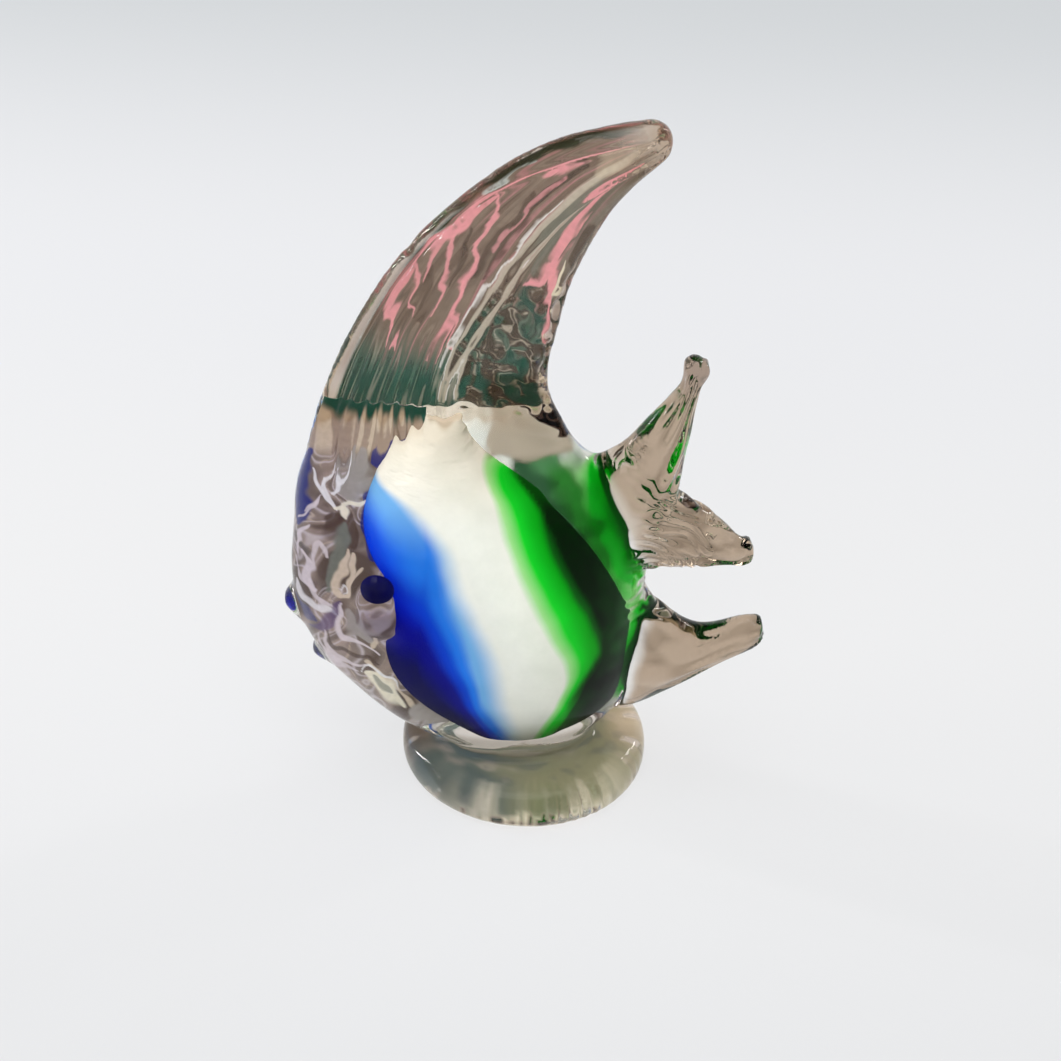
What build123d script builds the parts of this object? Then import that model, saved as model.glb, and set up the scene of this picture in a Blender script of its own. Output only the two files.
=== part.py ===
"""Glass angelfish on a round foot: a coloured core cased in clear glass, with drawn fins. Millimetres.

The fish faces -X and stands on the foot's flat underside. The origin is the centre of that underside.
"""

from build123d import *
from math import acos, cos, degrees, exp, pi, sin
import os

os.makedirs("parts", exist_ok=True)

# Foot: a thick round disc with a small lower edge and a soft shoulder
foot_radius = 31.0
foot_thickness = 9.5
foot_lower_edge = 2.0
foot_shoulder = 5.0

# Collar: the waist between foot and body
collar_length = 38.0
collar_width = 31.5
collar_flare = 3.2
collar_height = 5.0
collar_x = -3.0
neck_web = 1.5

# Body: the clear casing, a leaning pebble
body_length = 85.7
body_height = 95.0
body_thickness = 41.0
body_middle_x = -15.4

# Clear walls between the casing's skin and the coloured core
nose_wall = 25.0
tail_wall = 8.0
side_wall = 5.0
floor_wall = 3.0
crown_wall = 8.0

# Coloured glass over the white core
blue_depth = 9.5
green_depth = 8.5
band_proud = 0.8

# Dorsal fin, above the body's top
dorsal_height = 64.0
dorsal_length = 76.0
dorsal_thickness = 16.5
dorsal_tip_radius = 5.0

# Veils: flat sheets of coloured glass inside the dorsal fin and inside the face
veil_thickness = 0.8
face_veil_skin_gap = 1.8
face_veil_core_gap = 0.6
face_veil_crown_gap = 0.8

# Tail fin and anal fin
tail_length = 36.0
tail_height = 58.0
tail_thickness = 17.0
anal_length = 36.0
anal_height = 42.0
anal_thickness = 17.0

# Mouth
lip_length = 11.0
lip_height = 13.5
lip_thickness = 13.0
lower_lip_length = 11.0
lower_lip_height = 11.5
lower_lip_thickness = 11.0

# Eyes
pupil_radius = 3.9
pupil_thickness = 2.8
eye_drop_radius = 7.8
eye_cover_radius = 6.6
eye_drop_inset = 4.6
eye_drop_fall = 8.5
eye_drop_drift = 2.0
eye_drop_proud = 0.4

# Casing sections, from base to crown: height, centre and length as shares of the body, and its thickness
casing_section_shares = (
    (0.000, 0.132, 0.420, 0.707),
    (0.032, 0.103, 0.595, 0.830),
    (0.095, 0.077, 0.753, 0.917),
    (0.200, 0.042, 0.893, 0.976),
    (0.326, 0.010, 0.975, 1.000),
    (0.453, -0.002, 0.992, 0.990),
    (0.579, -0.010, 0.963, 0.941),
    (0.705, -0.031, 0.887, 0.839),
    (0.810, -0.057, 0.764, 0.702),
    (0.895, -0.078, 0.607, 0.537),
    (0.958, -0.078, 0.420, 0.366),
    (1.000, -0.078, 0.187, 0.170),
)

# The same sections of the core: shares of the nose, tail and side walls
wall_shares = (
    (0.40, 1.00, 1.30),
    (0.62, 1.00, 1.30),
    (0.68, 0.75, 1.12),
    (0.76, 0.75, 1.00),
    (0.93, 0.85, 0.94),
    (0.98, 1.20, 0.94),
    (0.84, 1.70, 0.92),
    (0.72, 2.15, 0.84),
    (0.66, 2.35, 0.76),
    (0.60, 2.25, 0.72),
    (0.50, 1.60, 0.58),
    (0.20, 0.50, 0.30),
)

# How deep the blue and the green lie at each section, as shares of their greatest depths
overlay_shares = (
    (0.45, 0.30),
    (0.60, 0.45),
    (0.70, 0.58),
    (0.95, 0.52),
    (0.88, 0.50),
    (0.90, 0.58),
    (0.93, 0.58),
    (0.88, 0.50),
    (0.50, 0.22),
    (0.08, -0.20),
    (-0.20, -0.30),
    (-0.20, -0.30),
)

# Dorsal sections, from root to tip: front x and z, rear x and z, and thickness, as shares of the fin
dorsal_section_shares = (
    (-0.507, -0.281, 0.334, -0.242, 1.12),
    (-0.455, -0.078, 0.242, -0.062, 1.00),
    (-0.390, 0.125, 0.216, 0.078, 0.88),
    (-0.297, 0.344, 0.236, 0.219, 0.78),
    (-0.179, 0.547, 0.262, 0.375, 0.70),
    (-0.008, 0.750, 0.314, 0.547, 0.65),
    (0.203, 0.914, 0.387, 0.711, 0.60),
)
dorsal_tip_shares = (0.455, 0.918)
dorsal_tip_lean = pi / 6
dorsal_rib_count = 8
dorsal_rib_depth_share = 0.17
dorsal_rib_span_shares = (0.07, 0.55)
dorsal_ridge_share = 0.61
dorsal_ridge_rise_share = 0.14
dorsal_ridge_width_share = 0.035

# How far the dorsal veil stays in from the fin's edges, as a share of each section
dorsal_veil_inset_share = 0.06

tail_rib_count = 4
tail_rib_depth_share = 0.12

# Tail and anal sections, from root to cut end: two edge points and thickness, as shares of the fin.
# They are measured from the body's middle height at its rear edge.
tail_upper_shares = (
    (-0.485, 0.441, -0.096, -0.007, 0.95),
    (-0.360, 0.507, 0.043, 0.131, 0.86),
    (-0.235, 0.562, 0.135, 0.338, 0.72),
    (-0.068, 0.700, 0.171, 0.528, 0.56),
    (0.057, 0.809, 0.199, 0.726, 0.44),
    (0.099, 0.872, 0.226, 0.838, 0.36),
    (0.093, 0.929, 0.265, 0.903, 0.38),
    (0.126, 0.964, 0.238, 0.945, 0.24),
)
tail_lower_shares = (
    (-0.040, 0.372, -0.179, -0.050, 0.95),
    (0.099, 0.355, -0.012, -0.019, 0.80),
    (0.279, 0.295, 0.210, -0.007, 0.62),
    (0.446, 0.222, 0.432, 0.000, 0.50),
    (0.571, 0.152, 0.576, 0.010, 0.40),
    (0.632, 0.136, 0.643, 0.016, 0.40),
    (0.682, 0.114, 0.690, 0.033, 0.26),
)
anal_shares = (
    (-0.19, 0.20, -0.19, -0.90, 0.94),
    (-0.03, 0.03, -0.03, -0.88, 0.90),
    (0.08, -0.10, 0.11, -0.82, 0.78),
    (0.28, -0.24, 0.31, -0.69, 0.62),
    (0.47, -0.27, 0.54, -0.53, 0.52),
    (0.64, -0.21, 0.73, -0.42, 0.46),
    (0.76, -0.19, 0.82, -0.34, 0.44),
    (0.80, -0.22, 0.83, -0.30, 0.30),
)
upper_lip_shares = (
    (0.60, 0.56, 0.90, -0.50, 1.00),
    (0.24, 0.34, 0.50, -0.38, 0.76),
    (0.05, 0.20, 0.16, -0.18, 0.48),
    (0.00, 0.09, 0.04, -0.05, 0.22),
)
lower_lip_shares = (
    (0.58, 0.56, 1.00, -0.50, 1.00),
    (0.20, 0.42, 0.46, -0.26, 0.72),
    (0.03, 0.18, 0.14, -0.12, 0.44),
    (0.00, 0.09, 0.04, -0.03, 0.22),
)

# Where the mouth and the eyes sit, as shares of the body's height and length
upper_lip_height_share = 0.342
upper_lip_reach_share = -0.532
lower_lip_height_share = 0.184
lower_lip_reach_share = -0.455
eye_height_share = 0.521
eye_length_share = -0.235
tail_rear_share = 0.500
tail_base_height_share = 0.520
anal_base_height_share = 0.450

# Collar sections: height and flare as shares of the collar
collar_section_shares = ((0, 1), (0.35, 0.3), (1, 0))

# Which sections the veils run through, first and last
dorsal_veil_sections = (1, 7)
face_veil_skin_sections = (1, 10)
face_veil_core_sections = (1, 11)

# How finely the drawn bits are worked out
along_each_row = 3
surface_tolerance = 0.02
ball_turns = (0, pi / 9, 2 * pi / 9, pi / 3, 5 * pi / 12, 17 * pi / 36)

# Places worked out from the sizes
body_base_z = foot_thickness + neck_web
body_top_z = body_base_z + body_height
core_base_z = body_base_z + floor_wall
core_height = body_height - floor_wall - crown_wall


def casing_section(row):
    """Height, centre, half length and half thickness of a casing section."""
    height, centre, length, thickness = casing_section_shares[row]
    return (
        body_base_z + height * body_height,
        body_middle_x + centre * body_length,
        length * body_length / 2,
        thickness * body_thickness / 2,
    )


def core_section(row):
    """The casing's section drawn in by its walls, at the core's own height."""
    _, centre, half_length, half_thickness = casing_section(row)
    nose, tail, side = wall_shares[row]
    front = centre - half_length + nose * nose_wall
    rear = centre + half_length - tail * tail_wall
    height = core_base_z + casing_section_shares[row][0] * core_height
    return height, (front + rear) / 2, (rear - front) / 2, half_thickness - side * side_wall


def white_section(row):
    """The core's section drawn in by the coloured glass, and a little proud of it across the band."""
    height, centre, half_length, half_thickness = core_section(row)
    blue, green = overlay_shares[row]
    front = centre - half_length + blue * blue_depth
    rear = centre + half_length - green * green_depth
    middle_z = core_base_z + core_height / 2
    stretch = 1 + 2 * band_proud / core_height
    height = middle_z + (height - middle_z) * stretch
    return height, (front + rear) / 2, (rear - front) / 2, half_thickness + band_proud


def stack_of_ellipses(section):
    """One horizontal ellipse for each row."""
    stack = []
    for row in range(len(casing_section_shares)):
        height, centre, half_length, half_thickness = section(row)
        with BuildSketch(Plane.XY.offset(height)) as layer:
            with Locations((centre, 0)):
                Ellipse(half_length, half_thickness)
        stack.append(layer.sketch)
    return stack


def plain_swell(across):
    """A plain oval section."""
    return 1


def dorsal_swell(across):
    """Flutes over the front lobe of the dorsal fin and one ridge behind them."""
    start, end = dorsal_rib_span_shares
    among_ribs = min(max((across - start) / (end - start), 0), 1)
    wave = (1 + cos(2 * pi * dorsal_rib_count * among_ribs)) / 2
    flute = dorsal_rib_depth_share * sin(pi * among_ribs) * wave
    offset = (across - dorsal_ridge_share) / dorsal_ridge_width_share
    return 1 - flute + dorsal_ridge_rise_share * exp(-offset * offset)


def tail_swell(across):
    """Shallow flutes along a tail lobe."""
    return 1 - tail_rib_depth_share * sin(pi * across) * (1 + cos(2 * pi * tail_rib_count * across)) / 2


def placed_rows(shares, anchor, length, height, thickness):
    """Rows of front edge, rear edge and thickness, in place, from shares of a bit's own sizes."""
    x, z = anchor
    return [
        (
            x + front_x * length,
            z + front_z * height,
            x + rear_x * length,
            z + rear_z * height,
            thick * thickness,
        )
        for front_x, front_z, rear_x, rear_z, thick in shares
    ]


def ball_rows(centre, radius, lean):
    """Rows that close a drawn end with half a ball; lean is the way the end points, from +X up."""
    x, z = centre
    rows = []
    for turn in ball_turns:
        out, half = radius * sin(turn), radius * cos(turn)
        middle_x, middle_z = x + out * cos(lean), z + out * sin(lean)
        rows.append(
            (
                middle_x - half * sin(lean),
                middle_z + half * cos(lean),
                middle_x + half * sin(lean),
                middle_z - half * cos(lean),
                2 * half,
            )
        )
    return rows


def row_between(rows, share):
    """A smooth cubic through the rows: the row at a share of the way along."""
    last = len(rows) - 1
    place = share * last
    first = min(int(place), last - 1)
    step = place - first
    here, there = rows[first], rows[first + 1]
    before = rows[first - 1] if first > 0 else [2 * p - q for p, q in zip(here, there)]
    after = rows[first + 2] if first + 2 <= last else [2 * q - p for p, q in zip(here, there)]
    return [
        q + step * ((r - p) + step * ((2 * p - 5 * q + 4 * r - t) + step * (3 * q - p - 3 * r + t))) / 2
        for p, q, r, t in zip(before, here, there, after)
    ]


def drawn_bit(rows, swell=plain_swell, across_steps=24):
    """A closed solid drawn along its rows: one side as a smooth face, its mirror image, and two ends."""
    along_steps = along_each_row * (len(rows) - 1)
    grid = []
    for along in range(along_steps + 1):
        front_x, front_z, rear_x, rear_z, thickness = row_between(rows, along / along_steps)
        line = []
        for step in range(across_steps + 1):
            turn = pi * step / across_steps
            across = (1 - cos(turn)) / 2
            depth = thickness / 2 * sin(turn) * swell(across) if 0 < step < across_steps else 0
            line.append(
                Vector(front_x + (rear_x - front_x) * across, -depth, front_z + (rear_z - front_z) * across)
            )
        grid.append(line)
    near = Face.make_surface_from_array_of_points(grid, tol=surface_tolerance)
    ends = []
    for line in (grid[0], grid[-1]):
        middle = line[across_steps // 2]
        near_edge = near.edges().sort_by(lambda edge: (edge @ 0.5 - middle).length)[0]
        ends.append(Face(Wire([near_edge, near_edge.mirror(Plane.XZ)])))
    return Solid(Shell([near, near.mirror(Plane.XZ), *ends]))


def veil(front, rear):
    """A flat sheet on the fish's middle plane between two smooth edges, each a list of x and z."""
    with BuildPart() as sheet:
        with BuildSketch(Plane.XZ):
            with BuildLine():
                front_edge = Spline(*front)
                rear_edge = Spline(*rear)
                Line(front_edge @ 0, rear_edge @ 0)
                Line(front_edge @ 1, rear_edge @ 1)
            make_face()
        extrude(amount=veil_thickness / 2, both=True)
    return sheet.part


# Foot disc
with BuildPart() as foot_disc:
    with BuildSketch(Plane.XZ):
        with BuildLine():
            Polyline((0, foot_thickness), (0, 0), (foot_radius, 0), (foot_radius, foot_thickness), close=True)
        make_face()
    revolve(axis=Axis.Z)
    fillet(foot_disc.edges().group_by(Axis.Z)[0], foot_lower_edge)
    fillet(foot_disc.edges().group_by(Axis.Z)[-1], foot_shoulder)
foot_disc.part.label = "foot_disc"

# Casing's outer skin, kept apart because everything on the body is cut to it
with BuildPart() as casing_skin:
    loft(stack_of_ellipses(casing_section))

# Core: white glass between the blue and the green
with BuildPart() as core_whole:
    loft(stack_of_ellipses(core_section))
with BuildPart() as white_heart:
    loft(stack_of_ellipses(white_section))
with BuildPart() as white_core:
    add(core_whole.part)
    add(white_heart.part, mode=Mode.INTERSECT)
white_core.part.label = "white_core"
with BuildPart() as overlays:
    add(core_whole.part)
    add(white_heart.part, mode=Mode.SUBTRACT)
with BuildPart() as blue_overlay:
    add(overlays.solids().sort_by(Axis.X)[0])
blue_overlay.part.label = "blue_overlay"
with BuildPart() as green_overlay:
    add(overlays.solids().sort_by(Axis.X)[-1])
green_overlay.part.label = "green_overlay"

# Eyes: a dark dot set in the skin on each side, and a clear drop over it that has sagged
eye_x = body_middle_x + eye_length_share * body_length
eye_z = body_base_z + eye_height_share * body_height
eye_row = next(row for row, shares in enumerate(casing_section_shares) if shares[0] >= eye_height_share)
_, eye_row_x, eye_row_half_length, eye_row_half_thickness = casing_section(eye_row)
eye_y = eye_row_half_thickness * (1 - ((eye_x - eye_row_x) / eye_row_half_length) ** 2) ** 0.5


def eye_pieces(side):
    """The pupil, a lens of two equal caps, and its drop on one side of the fish."""
    cap_radius = (pupil_radius**2 + (pupil_thickness / 2) ** 2) / pupil_thickness
    cap_offset = cap_radius - pupil_thickness / 2
    with BuildPart() as pupil:
        with Locations((eye_x, side * eye_y + cap_offset, eye_z)):
            Sphere(cap_radius)
        with Locations((eye_x, side * eye_y - cap_offset, eye_z)):
            Sphere(cap_radius, mode=Mode.INTERSECT)
    top = Vector(eye_x, side * (eye_y - eye_drop_inset), eye_z)
    fall = Vector(eye_drop_drift, side * eye_drop_proud, -eye_drop_fall)
    lean = acos((eye_cover_radius - eye_drop_radius) / fall.length)
    reach = fall.length + eye_drop_radius
    with BuildPart() as drop:
        with BuildSketch(Plane(origin=top, x_dir=fall, z_dir=Vector(0, 1, 0).cross(fall))):
            with BuildLine():
                cover = CenterArc((0, 0), eye_cover_radius, degrees(lean), 180 - degrees(lean))
                bead = CenterArc((fall.length, 0), eye_drop_radius, 0, degrees(lean))
                Line(cover @ 0, bead @ 1)
                Line((-eye_cover_radius, 0), (reach, 0))
            make_face()
        revolve(axis=Axis(top, fall))
        add(casing_skin.part, mode=Mode.SUBTRACT)
        add(pupil.part, mode=Mode.SUBTRACT)
    return pupil.part, drop.part


left_pupil, left_eye_drop = eye_pieces(-1)
right_pupil, right_eye_drop = eye_pieces(1)
left_pupil.label, right_pupil.label = "left_pupil", "right_pupil"
left_eye_drop.label, right_eye_drop.label = "left_eye_drop", "right_eye_drop"

# Collar: flared onto the foot and cut to the body
with BuildPart() as foot_collar:
    for rise_share, flare_share in collar_section_shares:
        with BuildSketch(Plane.XY.offset(foot_thickness + rise_share * collar_height)):
            with Locations((collar_x, 0)):
                Ellipse(
                    collar_length / 2 + flare_share * collar_flare,
                    collar_width / 2 + flare_share * collar_flare,
                )
    loft()
    add(casing_skin.part, mode=Mode.SUBTRACT)
foot_collar.part.label = "foot_collar"

# Dorsal fin, with a ball at its tip
dorsal_tip = (
    body_middle_x + dorsal_tip_shares[0] * dorsal_length,
    body_top_z + dorsal_tip_shares[1] * dorsal_height,
)
dorsal_rows = placed_rows(
    dorsal_section_shares, (body_middle_x, body_top_z), dorsal_length, dorsal_height, dorsal_thickness
)
dorsal_rows += ball_rows(dorsal_tip, dorsal_tip_radius, dorsal_tip_lean)
first, last = dorsal_veil_sections
dorsal_front, dorsal_rear = [], []
for front_x, front_z, rear_x, rear_z, _ in dorsal_rows[first : last + 1]:
    inset_x = dorsal_veil_inset_share * (rear_x - front_x)
    inset_z = dorsal_veil_inset_share * (rear_z - front_z)
    dorsal_front.append((front_x + inset_x, front_z + inset_z))
    dorsal_rear.append((rear_x - inset_x, rear_z - inset_z))
dorsal_veil = veil(dorsal_front, dorsal_rear)
dorsal_veil.label = "dorsal_veil"
dorsal_veil_floor_z = dorsal_front[0][1]
with BuildPart() as dorsal_fin:
    add(drawn_bit(dorsal_rows, dorsal_swell, across_steps=72))
    add(casing_skin.part, mode=Mode.SUBTRACT)
    add(dorsal_veil, mode=Mode.SUBTRACT)
dorsal_fin.part.label = "dorsal_fin"

# Face veil: between the casing's nose and the core, up to the dorsal veil
face_front, face_rear = [], []
first, last = face_veil_skin_sections
for row in range(first, last + 1):
    height, centre, half_length, _ = casing_section(row)
    face_front.append((centre - half_length + face_veil_skin_gap, height))
first, last = face_veil_core_sections
for row in range(first, last + 1):
    height, centre, half_length, _ = core_section(row)
    face_rear.append((centre - half_length - face_veil_core_gap, height))
with BuildPart() as face_veil:
    add(veil(face_front, face_rear))
    split(bisect_by=Plane.XY.offset(dorsal_veil_floor_z - face_veil_crown_gap), keep=Keep.BOTTOM)
face_veil.part.label = "face_veil"

# Casing: clear glass round the core, the veils and half of each pupil
with BuildPart() as clear_casing:
    add(casing_skin.part)
    add(core_whole.part, mode=Mode.SUBTRACT)
    for held in (face_veil.part, dorsal_veil, left_pupil, right_pupil):
        add(held, mode=Mode.SUBTRACT)
clear_casing.part.label = "clear_casing"

# Tail fin: two lobes from one root
rear_x = body_middle_x + tail_rear_share * body_length
tail_anchor = (rear_x, body_base_z + tail_base_height_share * body_height)
with BuildPart() as tail_fin:
    for lobe_shares in (tail_upper_shares, tail_lower_shares):
        lobe_rows = placed_rows(lobe_shares, tail_anchor, tail_length, tail_height, tail_thickness)
        add(drawn_bit(lobe_rows, tail_swell, across_steps=48))
    add(casing_skin.part, mode=Mode.SUBTRACT)
tail_fin.part.label = "tail_fin"

# Anal fin
anal_anchor = (rear_x, body_base_z + anal_base_height_share * body_height)
with BuildPart() as anal_fin:
    add(drawn_bit(placed_rows(anal_shares, anal_anchor, anal_length, anal_height, anal_thickness)))
    add(casing_skin.part, mode=Mode.SUBTRACT)
anal_fin.part.label = "anal_fin"

# Lips
upper_lip_anchor = (
    body_middle_x + upper_lip_reach_share * body_length,
    body_base_z + upper_lip_height_share * body_height,
)
lower_lip_anchor = (
    body_middle_x + lower_lip_reach_share * body_length,
    body_base_z + lower_lip_height_share * body_height,
)
upper_lip_rows = placed_rows(upper_lip_shares, upper_lip_anchor, lip_length, lip_height, lip_thickness)
lower_lip_rows = placed_rows(
    lower_lip_shares, lower_lip_anchor, lower_lip_length, lower_lip_height, lower_lip_thickness
)
with BuildPart() as upper_lip:
    add(drawn_bit(upper_lip_rows))
    add(casing_skin.part, mode=Mode.SUBTRACT)
upper_lip.part.label = "upper_lip"
with BuildPart() as lower_lip:
    add(drawn_bit(lower_lip_rows))
    add(casing_skin.part, mode=Mode.SUBTRACT)
lower_lip.part.label = "lower_lip"

pieces = (
    white_core.part,
    blue_overlay.part,
    green_overlay.part,
    clear_casing.part,
    face_veil.part,
    dorsal_fin.part,
    dorsal_veil,
    tail_fin.part,
    anal_fin.part,
    upper_lip.part,
    lower_lip.part,
    left_pupil,
    right_pupil,
    left_eye_drop,
    right_eye_drop,
    foot_collar.part,
    foot_disc.part,
)
for piece in pieces:
    print(piece.label, len(piece.solids()), round(piece.volume, 1), piece.is_valid)
    export_step(piece, f"parts/{piece.label}.step")
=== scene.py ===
"""Glass angelfish on a round foot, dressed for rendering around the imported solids.

Metres, +Z up, the fish faces -X.
"""

import bmesh
import bpy
import numpy as np
from bpy.props import FloatProperty, FloatVectorProperty, PointerProperty
from math import acos, cos, pi, radians, sin
from mathutils import Matrix, Vector


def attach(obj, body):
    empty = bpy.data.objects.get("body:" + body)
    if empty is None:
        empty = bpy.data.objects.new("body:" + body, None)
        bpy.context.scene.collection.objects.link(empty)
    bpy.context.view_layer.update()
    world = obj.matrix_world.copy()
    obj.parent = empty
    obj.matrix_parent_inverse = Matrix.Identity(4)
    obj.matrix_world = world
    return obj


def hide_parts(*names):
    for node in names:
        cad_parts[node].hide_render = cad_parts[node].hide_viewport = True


bl_info = {
    "name": "Glass angelfish",
    "version": (1, 0, 0),
    "blender": (4, 5, 0),
    "location": "View3D > Sidebar > Glass fish",
    "description": "Fused clear glass, coloured core and studio for a glass angelfish",
    "category": "Object",
}

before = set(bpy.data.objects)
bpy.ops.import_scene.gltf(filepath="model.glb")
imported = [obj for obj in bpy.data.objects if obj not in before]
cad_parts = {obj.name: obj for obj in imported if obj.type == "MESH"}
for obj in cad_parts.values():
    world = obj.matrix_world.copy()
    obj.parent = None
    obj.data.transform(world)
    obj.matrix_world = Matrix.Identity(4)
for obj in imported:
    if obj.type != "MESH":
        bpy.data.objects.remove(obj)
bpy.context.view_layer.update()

# Casing sections, from base to crown: height, centre and length as shares of the body, and its thickness
casing_shares = (
    (0.000, 0.132, 0.420, 0.707),
    (0.032, 0.103, 0.595, 0.830),
    (0.095, 0.077, 0.753, 0.917),
    (0.200, 0.042, 0.893, 0.976),
    (0.326, 0.010, 0.975, 1.000),
    (0.453, -0.002, 0.992, 0.990),
    (0.579, -0.010, 0.963, 0.941),
    (0.705, -0.031, 0.887, 0.839),
    (0.810, -0.057, 0.764, 0.702),
    (0.895, -0.078, 0.607, 0.537),
    (0.958, -0.078, 0.420, 0.366),
    (1.000, -0.078, 0.187, 0.170),
)

# Dorsal sections, from root to tip: front x and z, rear x and z, and thickness, as shares of the fin
dorsal_shares = (
    (-0.507, -0.281, 0.334, -0.242, 1.12),
    (-0.455, -0.078, 0.242, -0.062, 1.00),
    (-0.390, 0.125, 0.216, 0.078, 0.88),
    (-0.297, 0.344, 0.236, 0.219, 0.78),
    (-0.179, 0.547, 0.262, 0.375, 0.70),
    (-0.008, 0.750, 0.314, 0.547, 0.65),
    (0.203, 0.914, 0.387, 0.711, 0.60),
)
dorsal_tip_shares = (0.455, 0.918)
dorsal_tip_lean = pi / 6

# Tail, anal fin and lips in the same way, measured from where each joins the body
tail_upper_shares = (
    (-0.485, 0.441, -0.096, -0.007, 0.95),
    (-0.360, 0.507, 0.043, 0.131, 0.86),
    (-0.235, 0.562, 0.135, 0.338, 0.72),
    (-0.068, 0.700, 0.171, 0.528, 0.56),
    (0.057, 0.809, 0.199, 0.726, 0.44),
    (0.099, 0.872, 0.226, 0.838, 0.36),
    (0.093, 0.929, 0.265, 0.903, 0.38),
    (0.126, 0.964, 0.238, 0.945, 0.24),
)
tail_lower_shares = (
    (-0.040, 0.372, -0.179, -0.050, 0.95),
    (0.099, 0.355, -0.012, -0.019, 0.80),
    (0.279, 0.295, 0.210, -0.007, 0.62),
    (0.446, 0.222, 0.432, 0.000, 0.50),
    (0.571, 0.152, 0.576, 0.010, 0.40),
    (0.632, 0.136, 0.643, 0.016, 0.40),
    (0.682, 0.114, 0.690, 0.033, 0.26),
)
anal_shares = (
    (-0.19, 0.20, -0.19, -0.90, 0.94),
    (-0.03, 0.03, -0.03, -0.88, 0.90),
    (0.08, -0.10, 0.11, -0.82, 0.78),
    (0.28, -0.24, 0.31, -0.69, 0.62),
    (0.47, -0.27, 0.54, -0.53, 0.52),
    (0.64, -0.21, 0.73, -0.42, 0.46),
    (0.76, -0.19, 0.82, -0.34, 0.44),
    (0.80, -0.22, 0.83, -0.30, 0.30),
)
upper_lip_shares = (
    (0.60, 0.56, 0.90, -0.50, 1.00),
    (0.24, 0.34, 0.50, -0.38, 0.76),
    (0.05, 0.20, 0.16, -0.18, 0.48),
    (0.00, 0.09, 0.04, -0.05, 0.22),
)
lower_lip_shares = (
    (0.58, 0.56, 1.00, -0.50, 1.00),
    (0.20, 0.42, 0.46, -0.26, 0.72),
    (0.03, 0.18, 0.14, -0.12, 0.44),
    (0.00, 0.09, 0.04, -0.03, 0.22),
)

# Where each joins the body: shares of its length from its middle, and of its height
tail_place = (0.500, 0.520)
anal_place = (0.500, 0.450)
upper_lip_place = (-0.532, 0.342)
lower_lip_place = (-0.455, 0.184)
eye_place = (-0.235, 0.521)

# Collar sections: height and flare as shares
collar_shares = ((-0.2, 1.2), (0, 1), (0.35, 0.3), (1, 0), (2, 0))

# Veils: which sections they run through, and how far the dorsal one stays in from the fin's edges
dorsal_veil_sections = (1, 7)
dorsal_veil_inset_share = 0.06
face_veil_skin_sections = (1, 10)
face_veil_core_sections = (1, 11)
nose_wall_shares = (0.40, 0.62, 0.68, 0.76, 0.93, 0.98, 0.84, 0.72, 0.66, 0.60, 0.50, 0.20)

# Lines on the dorsal fin: shares along, then the share across at each
groove_shares = ((0.05, 0.38, 0.42, 0.45, 0.49, 0.53, 0.57), (0.055, 0.060, 0.09, 0.14, 0.20, 0.26, 0.30))
ridge_shares = (
    (0.08, 0.14, 0.20, 0.25, 0.31, 0.37, 0.43, 0.48, 0.54),
    (0.54, 0.54, 0.55, 0.57, 0.61, 0.61, 0.63, 0.67, 0.71),
)
rear_line_shares = (
    (0.19, 0.25, 0.29, 0.33, 0.37, 0.41, 0.45, 0.49, 0.55),
    (0.94, 0.92, 0.89, 0.85, 0.84, 0.83, 0.79, 0.78, 0.80),
)

# Painted highlights: glints on the dorsal fin's front edge, drawn into its veil's colour. Colour, strength,
# half width, and places along and up the fish, all in millimetres
dorsal_glints = (
    ("glint_highlight", 0.90, 0.45, ((-42.5, 112.5), (-38.5, 122.5), (-33.5, 131.5), (-30, 137), (-22.5, 144))),
    ("glint_highlight", 0.80, 0.30, ((-14.5, 151.5), (-8, 157), (-3.5, 159.5))),
)
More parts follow.
